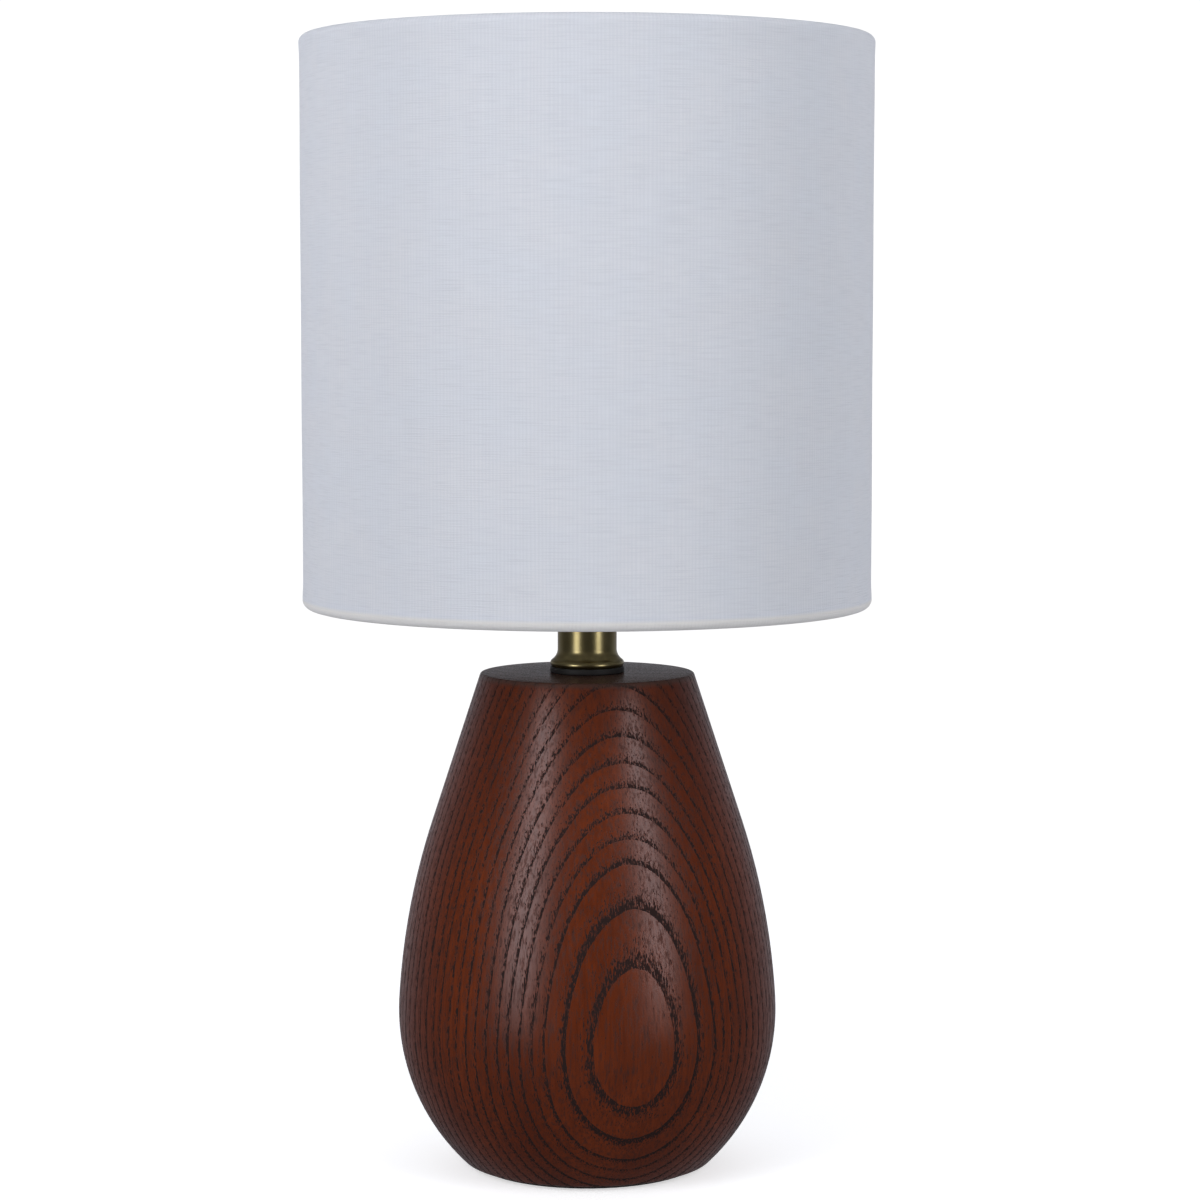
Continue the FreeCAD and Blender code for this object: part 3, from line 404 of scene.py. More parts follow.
def begin(name, kind="materials"):
    """A new material or world with no nodes yet, and the function that adds them."""
    made = getattr(bpy.data, kind).new(name)
    made.use_nodes = True
    made.node_tree.nodes.clear()
    return made, partial(add, made.node_tree)


def pattern(node, size, stretch=(1, 1, 1), detail=2, rough=0.5, source="Object"):
    """An uneven pattern of a size in millimetres, longer along some axes.

    It lies on Object coordinates, or on the UV map where it follows a cloth.
    """
    scale = [1 / (size * MM * longer) for longer in stretch]
    place = node("Mapping", node("TexCoord").outputs[source], inputs={"Scale": scale})
    return node("TexNoise", place, 1, detail, rough)


def stained_wood():
    """Ring-porous hardwood, turned, stained walnut red and lacquered satin.

    The growth rings stand round a pith line that bends in front of the lamp, so the
    turned face shows a closed oval with arches above it. Each ring starts with a row
    of wide pores that hold dark stain and thin out outwards; the pores are short
    upright dashes. The end grain on the top face soaks up more stain, and its greyish
    tone is partly a painted reflection. A painted band of that grey runs a little way
    down the side under the top edge.
    """
    made, node = begin("Turned hardwood, walnut stain, satin lacquer")
    place = node("VectorMath SCALE", node("TexCoord").outputs["Object"], 1 / MM)
    # The pith stands at a + b t + c t^2, where t is 0 at 60 mm up and 1 at 110 mm up
    pith, lean, bend = (30.24, -120.65, 0), (0.1, -0.95, 0), (0.93, -1.68, 0)
    up = node("SeparateXYZ", place).outputs["Z"]
    t = node("MULTIPLY_ADD", up, 1 / 50, -60 / 50)
    line = node("VectorMath MULTIPLY_ADD", t, bend, lean)
    line = node("VectorMath MULTIPLY_ADD", line, t, pith)
    off = node("VectorMath SUBTRACT", place, line)
    off = node("VectorMath MULTIPLY", off, (1, 1, 0))
    reach = node("VectorMath LENGTH", off)
    waver = node("MULTIPLY_ADD", pattern(node, 26, (1, 1, 2.5), 3), 1.8, -0.9)
    reach = node("ADD", reach, waver)
    # Radii of the rings in millimetres: their widths differ from year to year. The
    # later ones are given two years apart, with the year between them halfway
    radii = (46.0, 59.7, 64.7, 70.1, 73.5, 77.3, 81.3, 85.1, 89.4, 94.0, 98.2, 102.6,
             106.2, 110.9, 114.6, 119.2, 123.5, 127.3, 132.4)
    later = (140.4, 149.3, 158.1, 166.8, 175.5, 184.9, 194.0)
    years = [*enumerate(radii), *zip(range(len(radii) + 1, 99, 2), later)]
    last = years[-1][0]
    first, span = 45, 155
    share_of_span = node("MULTIPLY_ADD", reach, 1 / span, -first / span)
    count = node("ValToRGB", share_of_span, stops=[
        ((radius - first) / span, at / last) for at, radius in years])
    count = node("MULTIPLY", count, last)
    part = node("FRACT", count)
    year = node("TexWhiteNoise", node("FLOOR", count), noise_dimensions="1D")
    # Pores stand densest where a year begins and thin out over the next 2 to 3 mm
    band = node("ValToRGB", part, stops=(
        (0, 1), (0.13, 0.93), (0.25, 0.48), (0.5, 0.15), (0.85, 0), (0.985, 0), (1, 1)))
    # The first years after the pith are bold, and every later year differs a little
    bold = node("ValToRGB", share_of_span, stops=((0.1, 1), (0.22, 0.9)))
    year = node("MULTIPLY_ADD", year, 0.25, 0.86)
    band = node("MULTIPLY", band, year)
    band = node("MULTIPLY", band, bold)
    # The pores are drawn fainter towards the top
    fading_up = node("MULTIPLY", up, 1 / 170)
    fading_up = node("ValToRGB", fading_up, stops=((0.65, 1), (0.85, 0.88)))
    band = node("MULTIPLY", band, fading_up)
    dashes = node("MULTIPLY_ADD", pattern(node, 0.45, (1, 1, 6), 2, 0.6), 6.0, -3.8)
    pores = node("MULTIPLY_ADD", band, 1.75, dashes)
    pores = node("ValToRGB", pores, stops=((0.05, 0), (0.6, 1)))
    # Single late pores are 0.1 mm wide and are drawn 0.8 mm wide, so that they show
    fleck = node("ValToRGB", pattern(node, 0.8, (1, 1, 8), 3, 0.6), stops=((0.5, 0), (0.66, 1)))
    fleck = node("MULTIPLY", fleck, 0.5)
    pores = node("MAXIMUM", pores, fleck)
    cloud = node("ValToRGB", pattern(node, 30, (1, 1, 3), 3), stops=((0.3, 0), (0.7, 1)))
    streak = node("ValToRGB", pattern(node, 1.3, (1, 1, 24), 4, 0.65),
                  stops=((0.36, 0), (0.64, 1)))
    streak = node("MULTIPLY", streak, 0.6)
    ground = node("Mix RGBA", cloud, "#4C1B07", "#6C2C0C")
    ground = node("Mix RGBA", streak, ground, "#3A1405")
    ground = node("Mix RGBA", 0.3, ground, "stain")
    dark = node("MULTIPLY", pores, 0.94)
    tint = node("Mix RGBA", dark, ground, "pores")
    # The top face's end grain soaks up more stain, and its greyish tone is partly a painted
    # reflection
    facing = node("SeparateXYZ", node("TexCoord").outputs["Normal"])
    end_grain_painted_grey = node("ValToRGB", facing.outputs["Z"], stops=((0.62, 0), (0.86, 1)))
    # A painted band of the same grey runs down the side from 0.9 to 2.3 mm under the top edge
    top = corners("wood_base")[1][2]
    painted_grey_band = node("MapRange", up, top - 2.3, top - 0.9, 0, 1)
    end_grain_painted_grey = node("MAXIMUM", end_grain_painted_grey, painted_grey_band)
    stain_and_painted_grey = node("MULTIPLY", end_grain_painted_grey, 0.7)
    tint = node("Mix RGBA", stain_and_painted_grey, tint, "#42312A")
    rough = node("MULTIPLY_ADD", end_grain_painted_grey, 0.04, 0.28)
    rough = node("MULTIPLY_ADD", pores, 0.55, rough)
    filled = node("SUBTRACT", 1, pores)
    relief = node("Bump", inputs={"Height": filled, "Strength": 0.35, "Distance": 0.03 * MM})
    node("OutputMaterial", node("BsdfPrincipled", inputs={
        "Base Color": tint, "Roughness": rough, "Normal": relief,
        "Specular IOR Level": 0.3}))
    return made


def metal(name, bright, dull, shine, brush, clouds=18, depth=0.004):
    """Spun, drawn or plated metal: fine turning lines and a cloudy tarnish.

    The lines are finer than a tenth of a millimetre and are drawn 0.3 mm wide, so
    that they dull the reflections without showing one by one.
    """
    made, node = begin(name)
    cloud = node("ValToRGB", pattern(node, clouds, detail=4), stops=((0.35, 0), (0.7, 1)))
    lines = pattern(node, 0.3, (40, 40, 1))
    tint = node("Mix RGBA", cloud, bright, dull)
    rough = node("MULTIPLY_ADD", lines, brush, shine)
    relief = node("Bump", inputs={"Height": lines, "Strength": 0.35, "Distance": depth * MM})
    node("OutputMaterial", node("BsdfPrincipled", inputs={
        "Base Color": tint, "Roughness": rough, "Normal": relief, "Metallic": 1}))
    return made


def plain(name, light, dark, size, shine, depth, spread=0.1, look=()):
    """A dull finish: two close tones and a fine grain of one size in its surface.

    Look holds the shader's further inputs, the same all over the surface.
    """
    made, node = begin(name)
    grain = pattern(node, size, detail=4, rough=0.6)
    tone = node("ValToRGB", grain, stops=((0.35, 0), (0.65, 1)))
    tint = node("Mix RGBA", tone, dark, light)
    rough = node("MULTIPLY_ADD", grain, spread, shine)
    relief = node("Bump", inputs={"Height": grain, "Strength": 1, "Distance": depth * MM})
    node("OutputMaterial", node("BsdfPrincipled", inputs={
        "Base Color": tint, "Roughness": rough, "Normal": relief, **dict(look)}))
    return made


def shade_linen():
    """White linen-look cloth on the shade: upright slub threads and faint cross threads.

    The plain weave of 0.5 mm is too fine to show, so only each thicker slub thread is
    drawn: a wave over its spacing that wanders a little, among threads of uneven
    thickness. The cloth is a cool white with soft bluish and pinkish clouds. At the
    lower rim it is creamier where it is glued over the ring, and lighter there as
    painted light on the rolled-under edge that faces down.
    """
    made, node = begin("White linen-look weave, laminated")
    spacing = bpy.context.scene.lamp_sizes.thread_spacing / MM
    across = node("SeparateXYZ", node("TexCoord").outputs["UV"]).outputs["X"]
    wander = node("MULTIPLY", pattern(node, 5, (1, 30, 1), 1, 0.5, "UV"), 6)
    wave = node("MULTIPLY_ADD", across, 2 * pi / (spacing * MM), wander)
    wave = node("MULTIPLY", node("SINE", wave), 0.2)
    upright = pattern(node, spacing, (0.36, 22, 1), 2, 0.5, "UV")
    upright = node("MULTIPLY_ADD", upright, 0.62, wave)
    threads = node("ValToRGB", upright, stops=((0.08, 0), (0.54, 1)))
    slub = node("ValToRGB", pattern(node, spacing, (10, 0.3, 1), 2, 0.5, "UV"),
                stops=((0.47, 0), (0.7, 1)))
    cloud = node("ValToRGB", pattern(node, 26, (1, 1, 1), 3, 0.5, "UV"),
                 stops=((0.35, 0), (0.65, 1)))
    tint = node("Mix RGBA", cloud, "#D8DDE4", "#DDDEE1")
    tint = node("Mix RGBA", 0.5, tint, "linen")
    thin = node("MULTIPLY", threads, 0.42)
    tint = node("Mix RGBA", thin, tint, "#CED2D9")
    thick = node("MULTIPLY", slub, 0.62)
    tint = node("Mix RGBA", thick, tint, "#CFD2D8")
    # Creamier and lighter at the lower rim: glue over the ring, and painted light on the
    # rolled-under edge
    rim = corners("shade_fabric")[0][2] * MM
    height = node("SeparateXYZ", node("TexCoord").outputs["Object"]).outputs["Z"]
    glue_and_painted_light = node("MapRange", height, rim + 2.0 * MM, rim + 3.2 * MM, 0.8, 0)
    tint = node("Mix RGBA", glue_and_painted_light, tint, "#E8E4DC")
    relief = node("MULTIPLY", threads, 0.45)
    relief = node("MULTIPLY_ADD", slub, 0.7, relief)
    relief = node("MULTIPLY_ADD", pattern(node, 0.5, (1, 1, 1), 1, 0.5, "UV"), 0.5, relief)
    relief = node("Bump", inputs={"Height": relief, "Strength": 0.6, "Distance": 0.12 * MM})
    node("OutputMaterial", node("BsdfPrincipled", inputs={
        "Base Color": tint, "Normal": relief, "Roughness": 0.85,
        "Specular IOR Level": 0.25, "Sheen Weight": 0.04, "Subsurface Weight": 0.5,
        "Subsurface Radius": (1, 1, 1), "Subsurface Scale": 2 * MM}))
    return made


# How the finish of each of the record's slots is made, and what it shows to the eye
FINISHES = {
    "stained_wood": [stained_wood],
    "shade_linen": [shade_linen],
    # Dark bronze tone polished back, with soft bright bands
    "antique_brass": [
        metal, "Spun brass, antiqued and polished", "brass", "patina", 0.27, 0.06],
    # Yellow, clean and a little streaky
    "socket_brass": [
        metal, "Drawn brass, bright dipped", "#D3B877", "#B99A5A", 0.22, 0.08, 30, 0.003],
    # Unfinished: yellow and slightly tarnished
    "shell_brass": [metal, "Stamped brass", "#D3BC84", "#A58B55", 0.28, 0.1, 9, 0.004],
    # Thin plating on cold-drawn steel: paler than brass, with soft drawn lines
    "plated_steel": [
        metal, "Brass plated steel wire", "#CDB98A", "#A8925F", 0.24, 0.12, 12, 0.01],
    # Pale grey with a faint spangle
    "zinc_steel": [metal, "Zinc plated steel", "#B9BCBE", "#8E9396", 0.34, 0.14, 5, 0.01],
    # Silvery and bright
    "bulb_metal": [
        metal, "Nickel plated screw cap", "#C9C8C4", "#A9A7A1", 0.22, 0.12, 6, 0.01],
    # A soft matt nap of short fibres
    "felt": [plain, "Pressed wool felt, dark brown", "#342B27", "#17110F", 0.9, 0.9, 0.25,
             0.1, {"Sheen Weight": 0.06}],
    # Fine spark-eroded grain with a dull gloss
    "black_plastic": [
        plain, "Moulded nylon, black", "#17171A", "#0E0E10", 0.3, 0.36, 0.02, 0.16],
    # Matt, with a faint cloudy bloom
    "rubber": [plain, "Moulded rubber, black", "#1C1917", "#110F0E", 0.4, 0.52, 0.02, 0.2],
    # Calendered board: grey, fibrous and dry
    "paperboard": [plain, "Insulating paperboard", "#A8A498", "#8D8879", 0.8, 0.78, 0.05],
    # Very dark brown with a hard gloss
    "phenolic": [
        plain, "Moulded phenolic resin", "#221A17", "#17110F", 1.2, 0.2, 0.01, 0.12],
    # Thick white paint with a soft gloss
    "painted_wire": [plain, "White stove enamel on steel", "#E7E6E2", "#E1DFDA", 3, 0.26,
                     0.03, 0.1, {"Coat Weight": 0.3}],
    # Smooth, matt, slightly warm and a little milky
    "white_styrene": [
        plain, "Extruded styrene sheet, white", "#E9E8E4", "#E5E4E0", 14, 0.45, 0.02, 0.08,
        {"Subsurface Weight": 0.8, "Subsurface Radius": (1, 1, 1),
         "Subsurface Scale": 3 * MM}],
    # Milky white that lets light in a little way
    "frosted_bulb": [
        plain, "Frosted polycarbonate", "#F1F0EC", "#EEEDE8", 9, 0.3, 0.01, 0.06,
        {"Subsurface Weight": 0.4, "Subsurface Radius": (1, 1, 0.8),
         "Subsurface Scale": 4 * MM}],
}
MADE = {}


def finish(slot):
    """The material of one of the record's slots, made on its first use."""
    if slot not in MADE:
        make, *how = FINISHES[slot]
        MADE[slot] = make(*how)
    return MADE[slot]


class LAMP_OT_base(bpy.types.Operator):
    """Turn the wood base, and finish the pad and the bushing that sit in it"""
    bl_idname = "lamp.base"
    bl_label = "Wood base"

    def execute(self, context):
        s = in_mm()
        # Clearance of the pipe, and the depth of the bushing's seat behind its flange
        play, seat_depth = 0.5, 1.6
        low, high = corners("wood_base")
        height = high[2] - low[2]
        curve = ((s.belly_radius - s.foot_radius) ** 2 + s.belly_height ** 2) / (
            2 * (s.belly_radius - s.foot_radius))
        slope = sqrt(curve ** 2 - s.belly_rise ** 2) / curve
        fall = s.belly_rise / curve
        turn = np.array((s.belly_radius - curve + curve * slope, s.belly_height + s.belly_rise))
        top = np.array((s.base_top_radius, height))
        chord = hypot(*(turn - top))
        sink = (turn[0] - top[0]) * slope - (top[1] - turn[1]) * fall
        shoulder = chord ** 2 * (1 - s.share.shoulder_straight ** 2) / (2 * sink)
        centre = turn - shoulder * np.array((slope, fall))
        reach = hypot(*(top - centre))
        angle = atan((top[1] - centre[1]) / (top[0] - centre[0])) - acos(shoulder / reach)
        straight = centre + shoulder * np.array((cos(angle), sin(angle)))
        hole = corners("lamp_pipe")[1][0] + play
        outline = joined(
            arc((s.foot_radius, 0), turn, curve, "left"),
            arc(turn, straight, shoulder, "left", 30),
            divided(np.array((straight, top)), 3),
            (hole, height), (hole, s.recess_depth),
            (s.recess_radius, s.recess_depth), (s.recess_radius, 0))
        outline = softened(outline, s.base_edge) + (0, low[2])
        outline[:, 1] = np.minimum(outline[:, 1], high[2])
        base = piece("turned_base", turned(outline, 192), "wood_base")
        low, high = corners("cord_bushing")
        level = (low[2] + high[2]) / 2
        seat = high[1] - seat_depth
        # The cord hole runs from inside the recess out past the back of the base
        drill, pocket, inside, past = 4.8, 7, 20, 90
        hole = joined((0, inside), (drill, inside), (drill, seat), (pocket, seat),
                      (pocket, past), (0, past))
        cut(base, laid(turned(hole, 48), "back", level))

        bore, barrel, flange = 3.3, 4.7, (high[0] - low[0]) / 2
        outline = softened(joined(
            (bore, low[1]), (barrel, low[1]), (barrel, seat), (flange, seat),
            (flange, high[1]), (bore, high[1])), 0.5)
        piece("inlet_bushing", laid(turned(outline, 64), "back", level), "cord_bushing")

        low, high = corners("felt_pad")
        outline = softened(joined(
            (0, low[2]), divided(np.array(((0, low[2]), (high[0], low[2]))), 4),
            (high[0], high[2]), (0, high[2])), 0.5, closed=False)

        def frayed(radius, height, angle):
            """Lets the cut edge of the felt waver by 0.08 mm, 61 times round the pad."""
            return radius + 0.08 * (radius > high[0] - 3) * np.sin(61 * angle + 3 * height)

        piece("felt_foot", turned(outline, 128, frayed), "felt_pad", closed=False)
        dress("bottom_washer", "bottom_lock_washer", "bottom_nut", "lamp_pipe")
        return {"FINISHED"}


class LAMP_OT_neck(bpy.types.Operator):
    """Turn the rubber gasket and the brass neck with its bead and cove"""
    bl_idname = "lamp.neck"
    bl_label = "Neck"

    def execute(self, context):
        s = in_mm()
        bore, skin, crown = 5.2, 1.2, 2
        low, high = corners("rubber_gasket")
        outline = softened(joined(
            (bore, low[2]), (high[0], low[2]), (high[0], high[2]), (bore, high[2])), 0.45)
        piece("gasket", turned(outline, 96), "rubber_gasket")
        low, high = corners("brass_neck")
        start_radius = high[0] - s.bead_width
        bead = (s.bead_height ** 2 / 4 + s.bead_width ** 2) / (2 * s.bead_width)
        rise = s.cove_height - s.bead_height
        run = start_radius - s.neck_radius
        cove = (rise ** 2 + run ** 2) / (2 * run)
        tall = high[2] - low[2]
        outline = joined(
            (s.neck_radius - skin, 0),
            arc((start_radius, 0), (high[0], s.bead_height / 2), bead, "left", 10),
            arc((high[0], s.bead_height / 2), (start_radius, s.bead_height), bead, "left", 10),
            arc((start_radius, s.bead_height), (s.neck_radius, s.cove_height), cove, "right", 20),
            (s.neck_radius, tall), (bore, tall), (bore, tall - crown),
            (s.neck_radius - skin, tall - crown))
        outline = softened(outline, 0.35) + (0, low[2])
        piece("spun_neck", turned(outline, 128), "brass_neck", smooth=50)
        return {"FINISHED"}


class LAMP_OT_socket(bpy.types.Operator):
    """Make the socket: cap, shell, sleeve, switch block, screws and screw shell"""
    bl_idname = "lamp.socket"
    bl_label = "Socket"

    def execute(self, context):
        s = in_mm()
        low, high = corners("socket_cap")
        wide, bore, collar, shoulder = high[0], 5, 7.5, 10.6
        collar_top, cone_top, rim, skin = 6, 14, 20, 0.8
        outline = softened(joined(
            (bore, 0), (collar, 0), (collar, collar_top), (shoulder, collar_top),
            (wide, cone_top), (wide, rim), (wide - skin, rim), (wide - skin, cone_top),
            (shoulder, collar_top + skin), (bore, collar_top + skin)), 0.9)
        cap = piece("spun_cap", turned(outline + (0, low[2]), 96), "socket_cap")
        # The set screw's hole goes through the right side of the collar, at half its height
        drill, inside, past = 1.6, 4, 12
        hole = joined((0, inside), (drill, inside), (drill, past), (0, past))
        cut(cap, laid(turned(hole, 32), "side", low[2] + collar_top / 2))

        low, high = corners("socket_shell")
        wide, tall, step = high[0], high[2] - low[2], 20
        skin, inset, bulge = 0.6, 0.7, 0.45
        outline = softened(joined(
            (wide - skin, 0), (wide, 0), (wide, step), (wide - inset, step + inset),
            (wide - inset, tall - 2 * inset), (wide - bulge, tall - inset),
            (wide - inset, tall), (wide - inset - skin, tall),
            (wide - inset - skin, step + inset), (wide - skin, step)), 0.3)
        shell = piece("drawn_shell", turned(outline + (0, low[2]), 96), "socket_shell")
        # The slot for the switch shaft is open at the shell's lower edge
        shaft_low, shaft_high = corners("switch_shaft")
        level, slot = (shaft_low[2] + shaft_high[2]) / 2, 3
        cut(shell, block((-slot, -30, low[2] - 1), (slot, 0, level + slot)))

        foot = corners("screw_shell")[0][2]
        bore, wide, tall, skin = 7.5, 13.8, 20, 0.5
        outline = divided(joined(
            (bore, 0), (wide, 0), (wide, tall), (wide - skin, tall), (wide - skin, skin),
            (bore, skin)), 0.45) + (0, foot)

        def threaded(radius, height, angle):
            """Presses a helix inwards, 0.2 mm deep, into the upright wall."""
            on_wall = (radius > wide - skin - 0.1) * (height > foot + 1)
            return radius - 0.2 * helix(height, angle, s.screw_pitch) * on_wall

        piece("threaded_holder", turned(outline, 72, threaded), "screw_shell")
        for node in ("harp_saddle", "pipe_locknut", "cap_set_screw"):
            rounded(piece(f"dressed_{node}", cad_copy(node), node), 0.2)
        dress("paper_sleeve", "socket_body", "terminal_screws", "centre_contact")
        return {"FINISHED"}


class LAMP_OT_knob(bpy.types.Operator):
    """Turn the switch shaft and the fluted knob that points to the front"""
    bl_idname = "lamp.knob"
    bl_label = "Switch knob"

    def execute(self, context):
        low, high = corners("switch_shaft")
        level = (low[2] + high[2]) / 2
        outline = softened(joined(
            (0, -high[1]), (high[0], -high[1]), (high[0], -low[1]), (0, -low[1])), 0.3,
            closed=False)
        piece("turned_shaft", laid(turned(outline, 32), "front", level), "switch_shaft",
              closed=False)
        low, high = corners("switch_knob")
        wide, near, far = (high[2] - low[2]) / 2, -high[1], -low[1]
        # A narrower collar stands behind the head, and the shaft's hole ends in the head
        bore, hole_end, collar, collar_end, edge = 2.3, near + 9, 4.4, near + 2.5, 1.2
        outline = softened(joined(
            (bore, near), (collar, near), (collar, collar_end), (wide, collar_end),
            (wide, far - edge), (wide - edge, far), (0, far)), 0.7, closed=False)
        outline = joined(outline, (0, hole_end), (bore, hole_end))
        count, size, centre = 14, 0.9, wide + 0.3

        def flutes(radius, height, angle):
            """Cuts round flutes into the head.

            Its radius is at most c cos a - sqrt(f^2 - (c sin a)^2), where f is the radius
            of a flute and c how far its centre lies from the axis.
            """
            off = (angle + pi / count) % (2 * pi / count) - pi / count
            deep = size ** 2 - (centre * np.sin(off)) ** 2
            groove = centre * np.cos(off) - np.sqrt(np.maximum(deep, 0))
            cut_in = (deep > 0) & (radius > collar + 0.1)
            return np.where(cut_in, np.minimum(radius, groove), radius)

        piece("fluted_knob", laid(turned(outline, count * 18, flutes), "front", level),
              "switch_knob")
        return {"FINISHED"}


class LAMP_OT_harp(bpy.types.Operator):
    """Bend the harp's wire loop, and turn its swivel stud and its two sleeves"""
    bl_idname = "lamp.harp"
    bl_label = "Harp"

    def execute(self, context):
        s = in_mm()
        low, high = corners("harp_wire")
        bottom, top = low[2], high[2] - s.wire_radius
        leg_top = bottom + s.leg_length
        arch = top - s.loop_radius
        flare = s.share.loop_flare * (arch - leg_top)
        spread = s.loop_radius - s.leg_spacing
        curve = (spread ** 2 + flare ** 2) / (4 * spread)
        middle = (s.leg_spacing + spread / 2, leg_top + flare / 2)
        side = joined(
            (s.leg_spacing, bottom), arc((s.leg_spacing, leg_top), middle, curve, "right"),
            arc(middle, (s.loop_radius, leg_top + flare), curve, "left"),
            arc((s.loop_radius, arch), (0, top), s.loop_radius, "left", 40))
        path = joined(divided(side, 4), (divided(side, 4) * (-1, 1))[::-1])
        loop = wire(np.insert(path, 1, 0, axis=1), s.wire_radius, (0, 1, 0), columns=24)
        piece("harp_loop", loop, "harp_wire", closed=False)

        low, high = corners("harp_stud")
        flange, base, collar, flange_low, flange_top = high[0], low[2], 4.2, 6, 7.6
        post, tall, point = 3.1, 20.6, 0.6
        outline = softened(joined(
            (0, 0), (collar, 0), (collar, flange_low), (flange, flange_low),
            (flange, flange_top), (post, flange_top), (post, tall - point),
            (post - point, tall), (0, tall)), 0.35, closed=False)
        outline = divided(outline, 0.25) + (0, base)

        def threaded(radius, height, angle):
            """Cuts a helix of 0.94 mm pitch, 0.35 mm deep, from a little over the flange."""
            held = ramp(height - base - flange_top - 0.6, 0.8)
            return radius - 0.35 * helix(height, angle, 0.94) * held * (radius > post - 0.3)

        stud = piece("swivel_stud", turned(outline, 48, threaded), "harp_stud", closed=False)
        # The wire runs through a hole across the collar, with 0.2 mm of play
        drill, past = 1.8, 12
        hole = joined((0, -past), (drill, -past), (drill, past), (0, past))
        cut(stud, laid(turned(hole, 32), "side", top))

        for side, sign in (("left", -1), ("right", 1)):
            low, high = corners(f"harp_sleeve_{side}")
            # Rolled in at the foot, and drawn a little narrower at the top
            wide, bore, roll, drawn = (high[0] - low[0]) / 2, 2.25, 0.4, 0.35
            outline = softened(joined(
                (bore, low[2]), (wide - roll, low[2]), (wide, low[2] + roll),
                (wide, high[2] - 3), (wide - drawn, high[2] - 2.4), (wide - drawn, high[2]),
                (bore, high[2])), 0.3)
            piece(f"lock_sleeve_{side}", turned(outline, 48) + (sign * s.leg_spacing, 0, 0),
                  f"harp_sleeve_{side}")
        return {"FINISHED"}


class LAMP_OT_bulb(bpy.types.Operator):
    """Blow the bulb's globe and roll the thread of its screw cap"""
    bl_idname = "lamp.bulb"
    bl_label = "Bulb"

    def execute(self, context):
        s = in_mm()
        low, high = corners("bulb_globe")
        cap_low, cap_high = corners("bulb_screw_cap")
        wide, neck, rim = high[0], 12.4, cap_high[2]
        centre = high[2] - wide
        drop = centre - rim
        angle = atan(drop / neck) - acos(wide / hypot(drop, neck))
        tangent = (wide * cos(angle), centre - wide * sin(angle))
        outline = joined(
            (0, low[2]), (neck, low[2]), (neck, rim),
            arc(tangent, (wide, centre), wide, "left", 16),
            arc((wide, centre), (0, high[2]), wide, "left", 30))
        outline = softened(divided(outline, 4), 2.5, closed=False)
        outline[-1, 0] = 0
        piece("frosted_globe", turned(outline, 96), "bulb_globe", closed=False, smooth=60)
        tip, cone_top, cap, tall, skin = 8.4, 2.4, 13, 22, 0.4
        outline = divided(joined(
            (tip, 0), (cap, cone_top), (cap, tall), (cap - skin, tall),
            (cap - skin, cone_top + skin), (tip, skin)), 0.4) + (0, cap_low[2])

        def rolled(radius, height, angle):
            """Rolls a helix of the screw's pitch, 0.5 mm deep, that fades at both ends."""
            fade = ramp(height - cap_low[2] - cone_top, 3) * ramp(rim - 2 - height, 2)
            return radius - 0.5 * helix(height, angle, s.screw_pitch) * fade * (radius > cap - 1)

        piece("rolled_cap", turned(outline, 96, rolled), "bulb_screw_cap")
        dress("bulb_insulator", "bulb_contact")
        return {"FINISHED"}


class LAMP_OT_spider(bpy.types.Operator):
    """Make the spider: its hub, its three arms and the two rings of the shade"""
    bl_idname = "lamp.spider"
    bl_label = "Spider and rings"

    def execute(self, context):
        s = in_mm()
        low, high = corners("spider_hub")
        wide, base, top, bore = high[0], low[2], high[2], 3.4
        outline = softened(joined((bore, base), (wide, base), (wide, top), (bore, top)), 0.4)
        piece("hub_washer", turned(outline, 72), "spider_hub")
        ring_low, ring_high = corners("top_ring")
        ring = ring_high[0] - s.wire_radius
        for name in ("top_ring", "bottom_ring"):
            low, high = corners(name)
            turn = np.linspace(0, 2 * pi, 180, endpoint=False)
            path = about_z(ring, turn, (low[2] + high[2]) / 2)
            loop = wire(path, s.wire_radius, (0, 0, 1), closed=True, columns=16)
            piece(f"wire_{name}", loop, name)
        # The arms start on the hub, flattened into it by 0.4 mm where they are welded
        inner_end, level = 9.2, top + s.arm_radius - 0.4
        ring_level = (ring_low[2] + ring_high[2]) / 2
        rise, run = ring_level - level, ring - s.arm_bend
        slope = hypot(rise, run)
        bend = s.arm_bend_radius * rise / (slope + run)
        line = divided(joined((inner_end, level), arc(
            (s.arm_bend - bend, level),
            (s.arm_bend + bend * run / slope, level + bend * rise / slope),
            s.arm_bend_radius, "left", 10), (ring, ring_level)), 3)
        arm = wire(np.insert(line, 1, 0, axis=1), s.arm_radius, (0, 1, 0))
        on_hub = np.hypot(arm[..., 0], arm[..., 1]) < wide
        arm[..., 2] = np.where(on_hub, np.maximum(arm[..., 2], top), arm[..., 2])
        for side, angle in ARM_ANGLES.items():
            a = radians(angle)
            points = np.stack([arm[..., 0] * cos(a) - arm[..., 1] * sin(a),
                               arm[..., 0] * sin(a) + arm[..., 1] * cos(a), arm[..., 2]], -1)
            piece(f"bent_arm_{side}", points, f"spider_arm_{side}", closed=False)
        return {"FINISHED"}


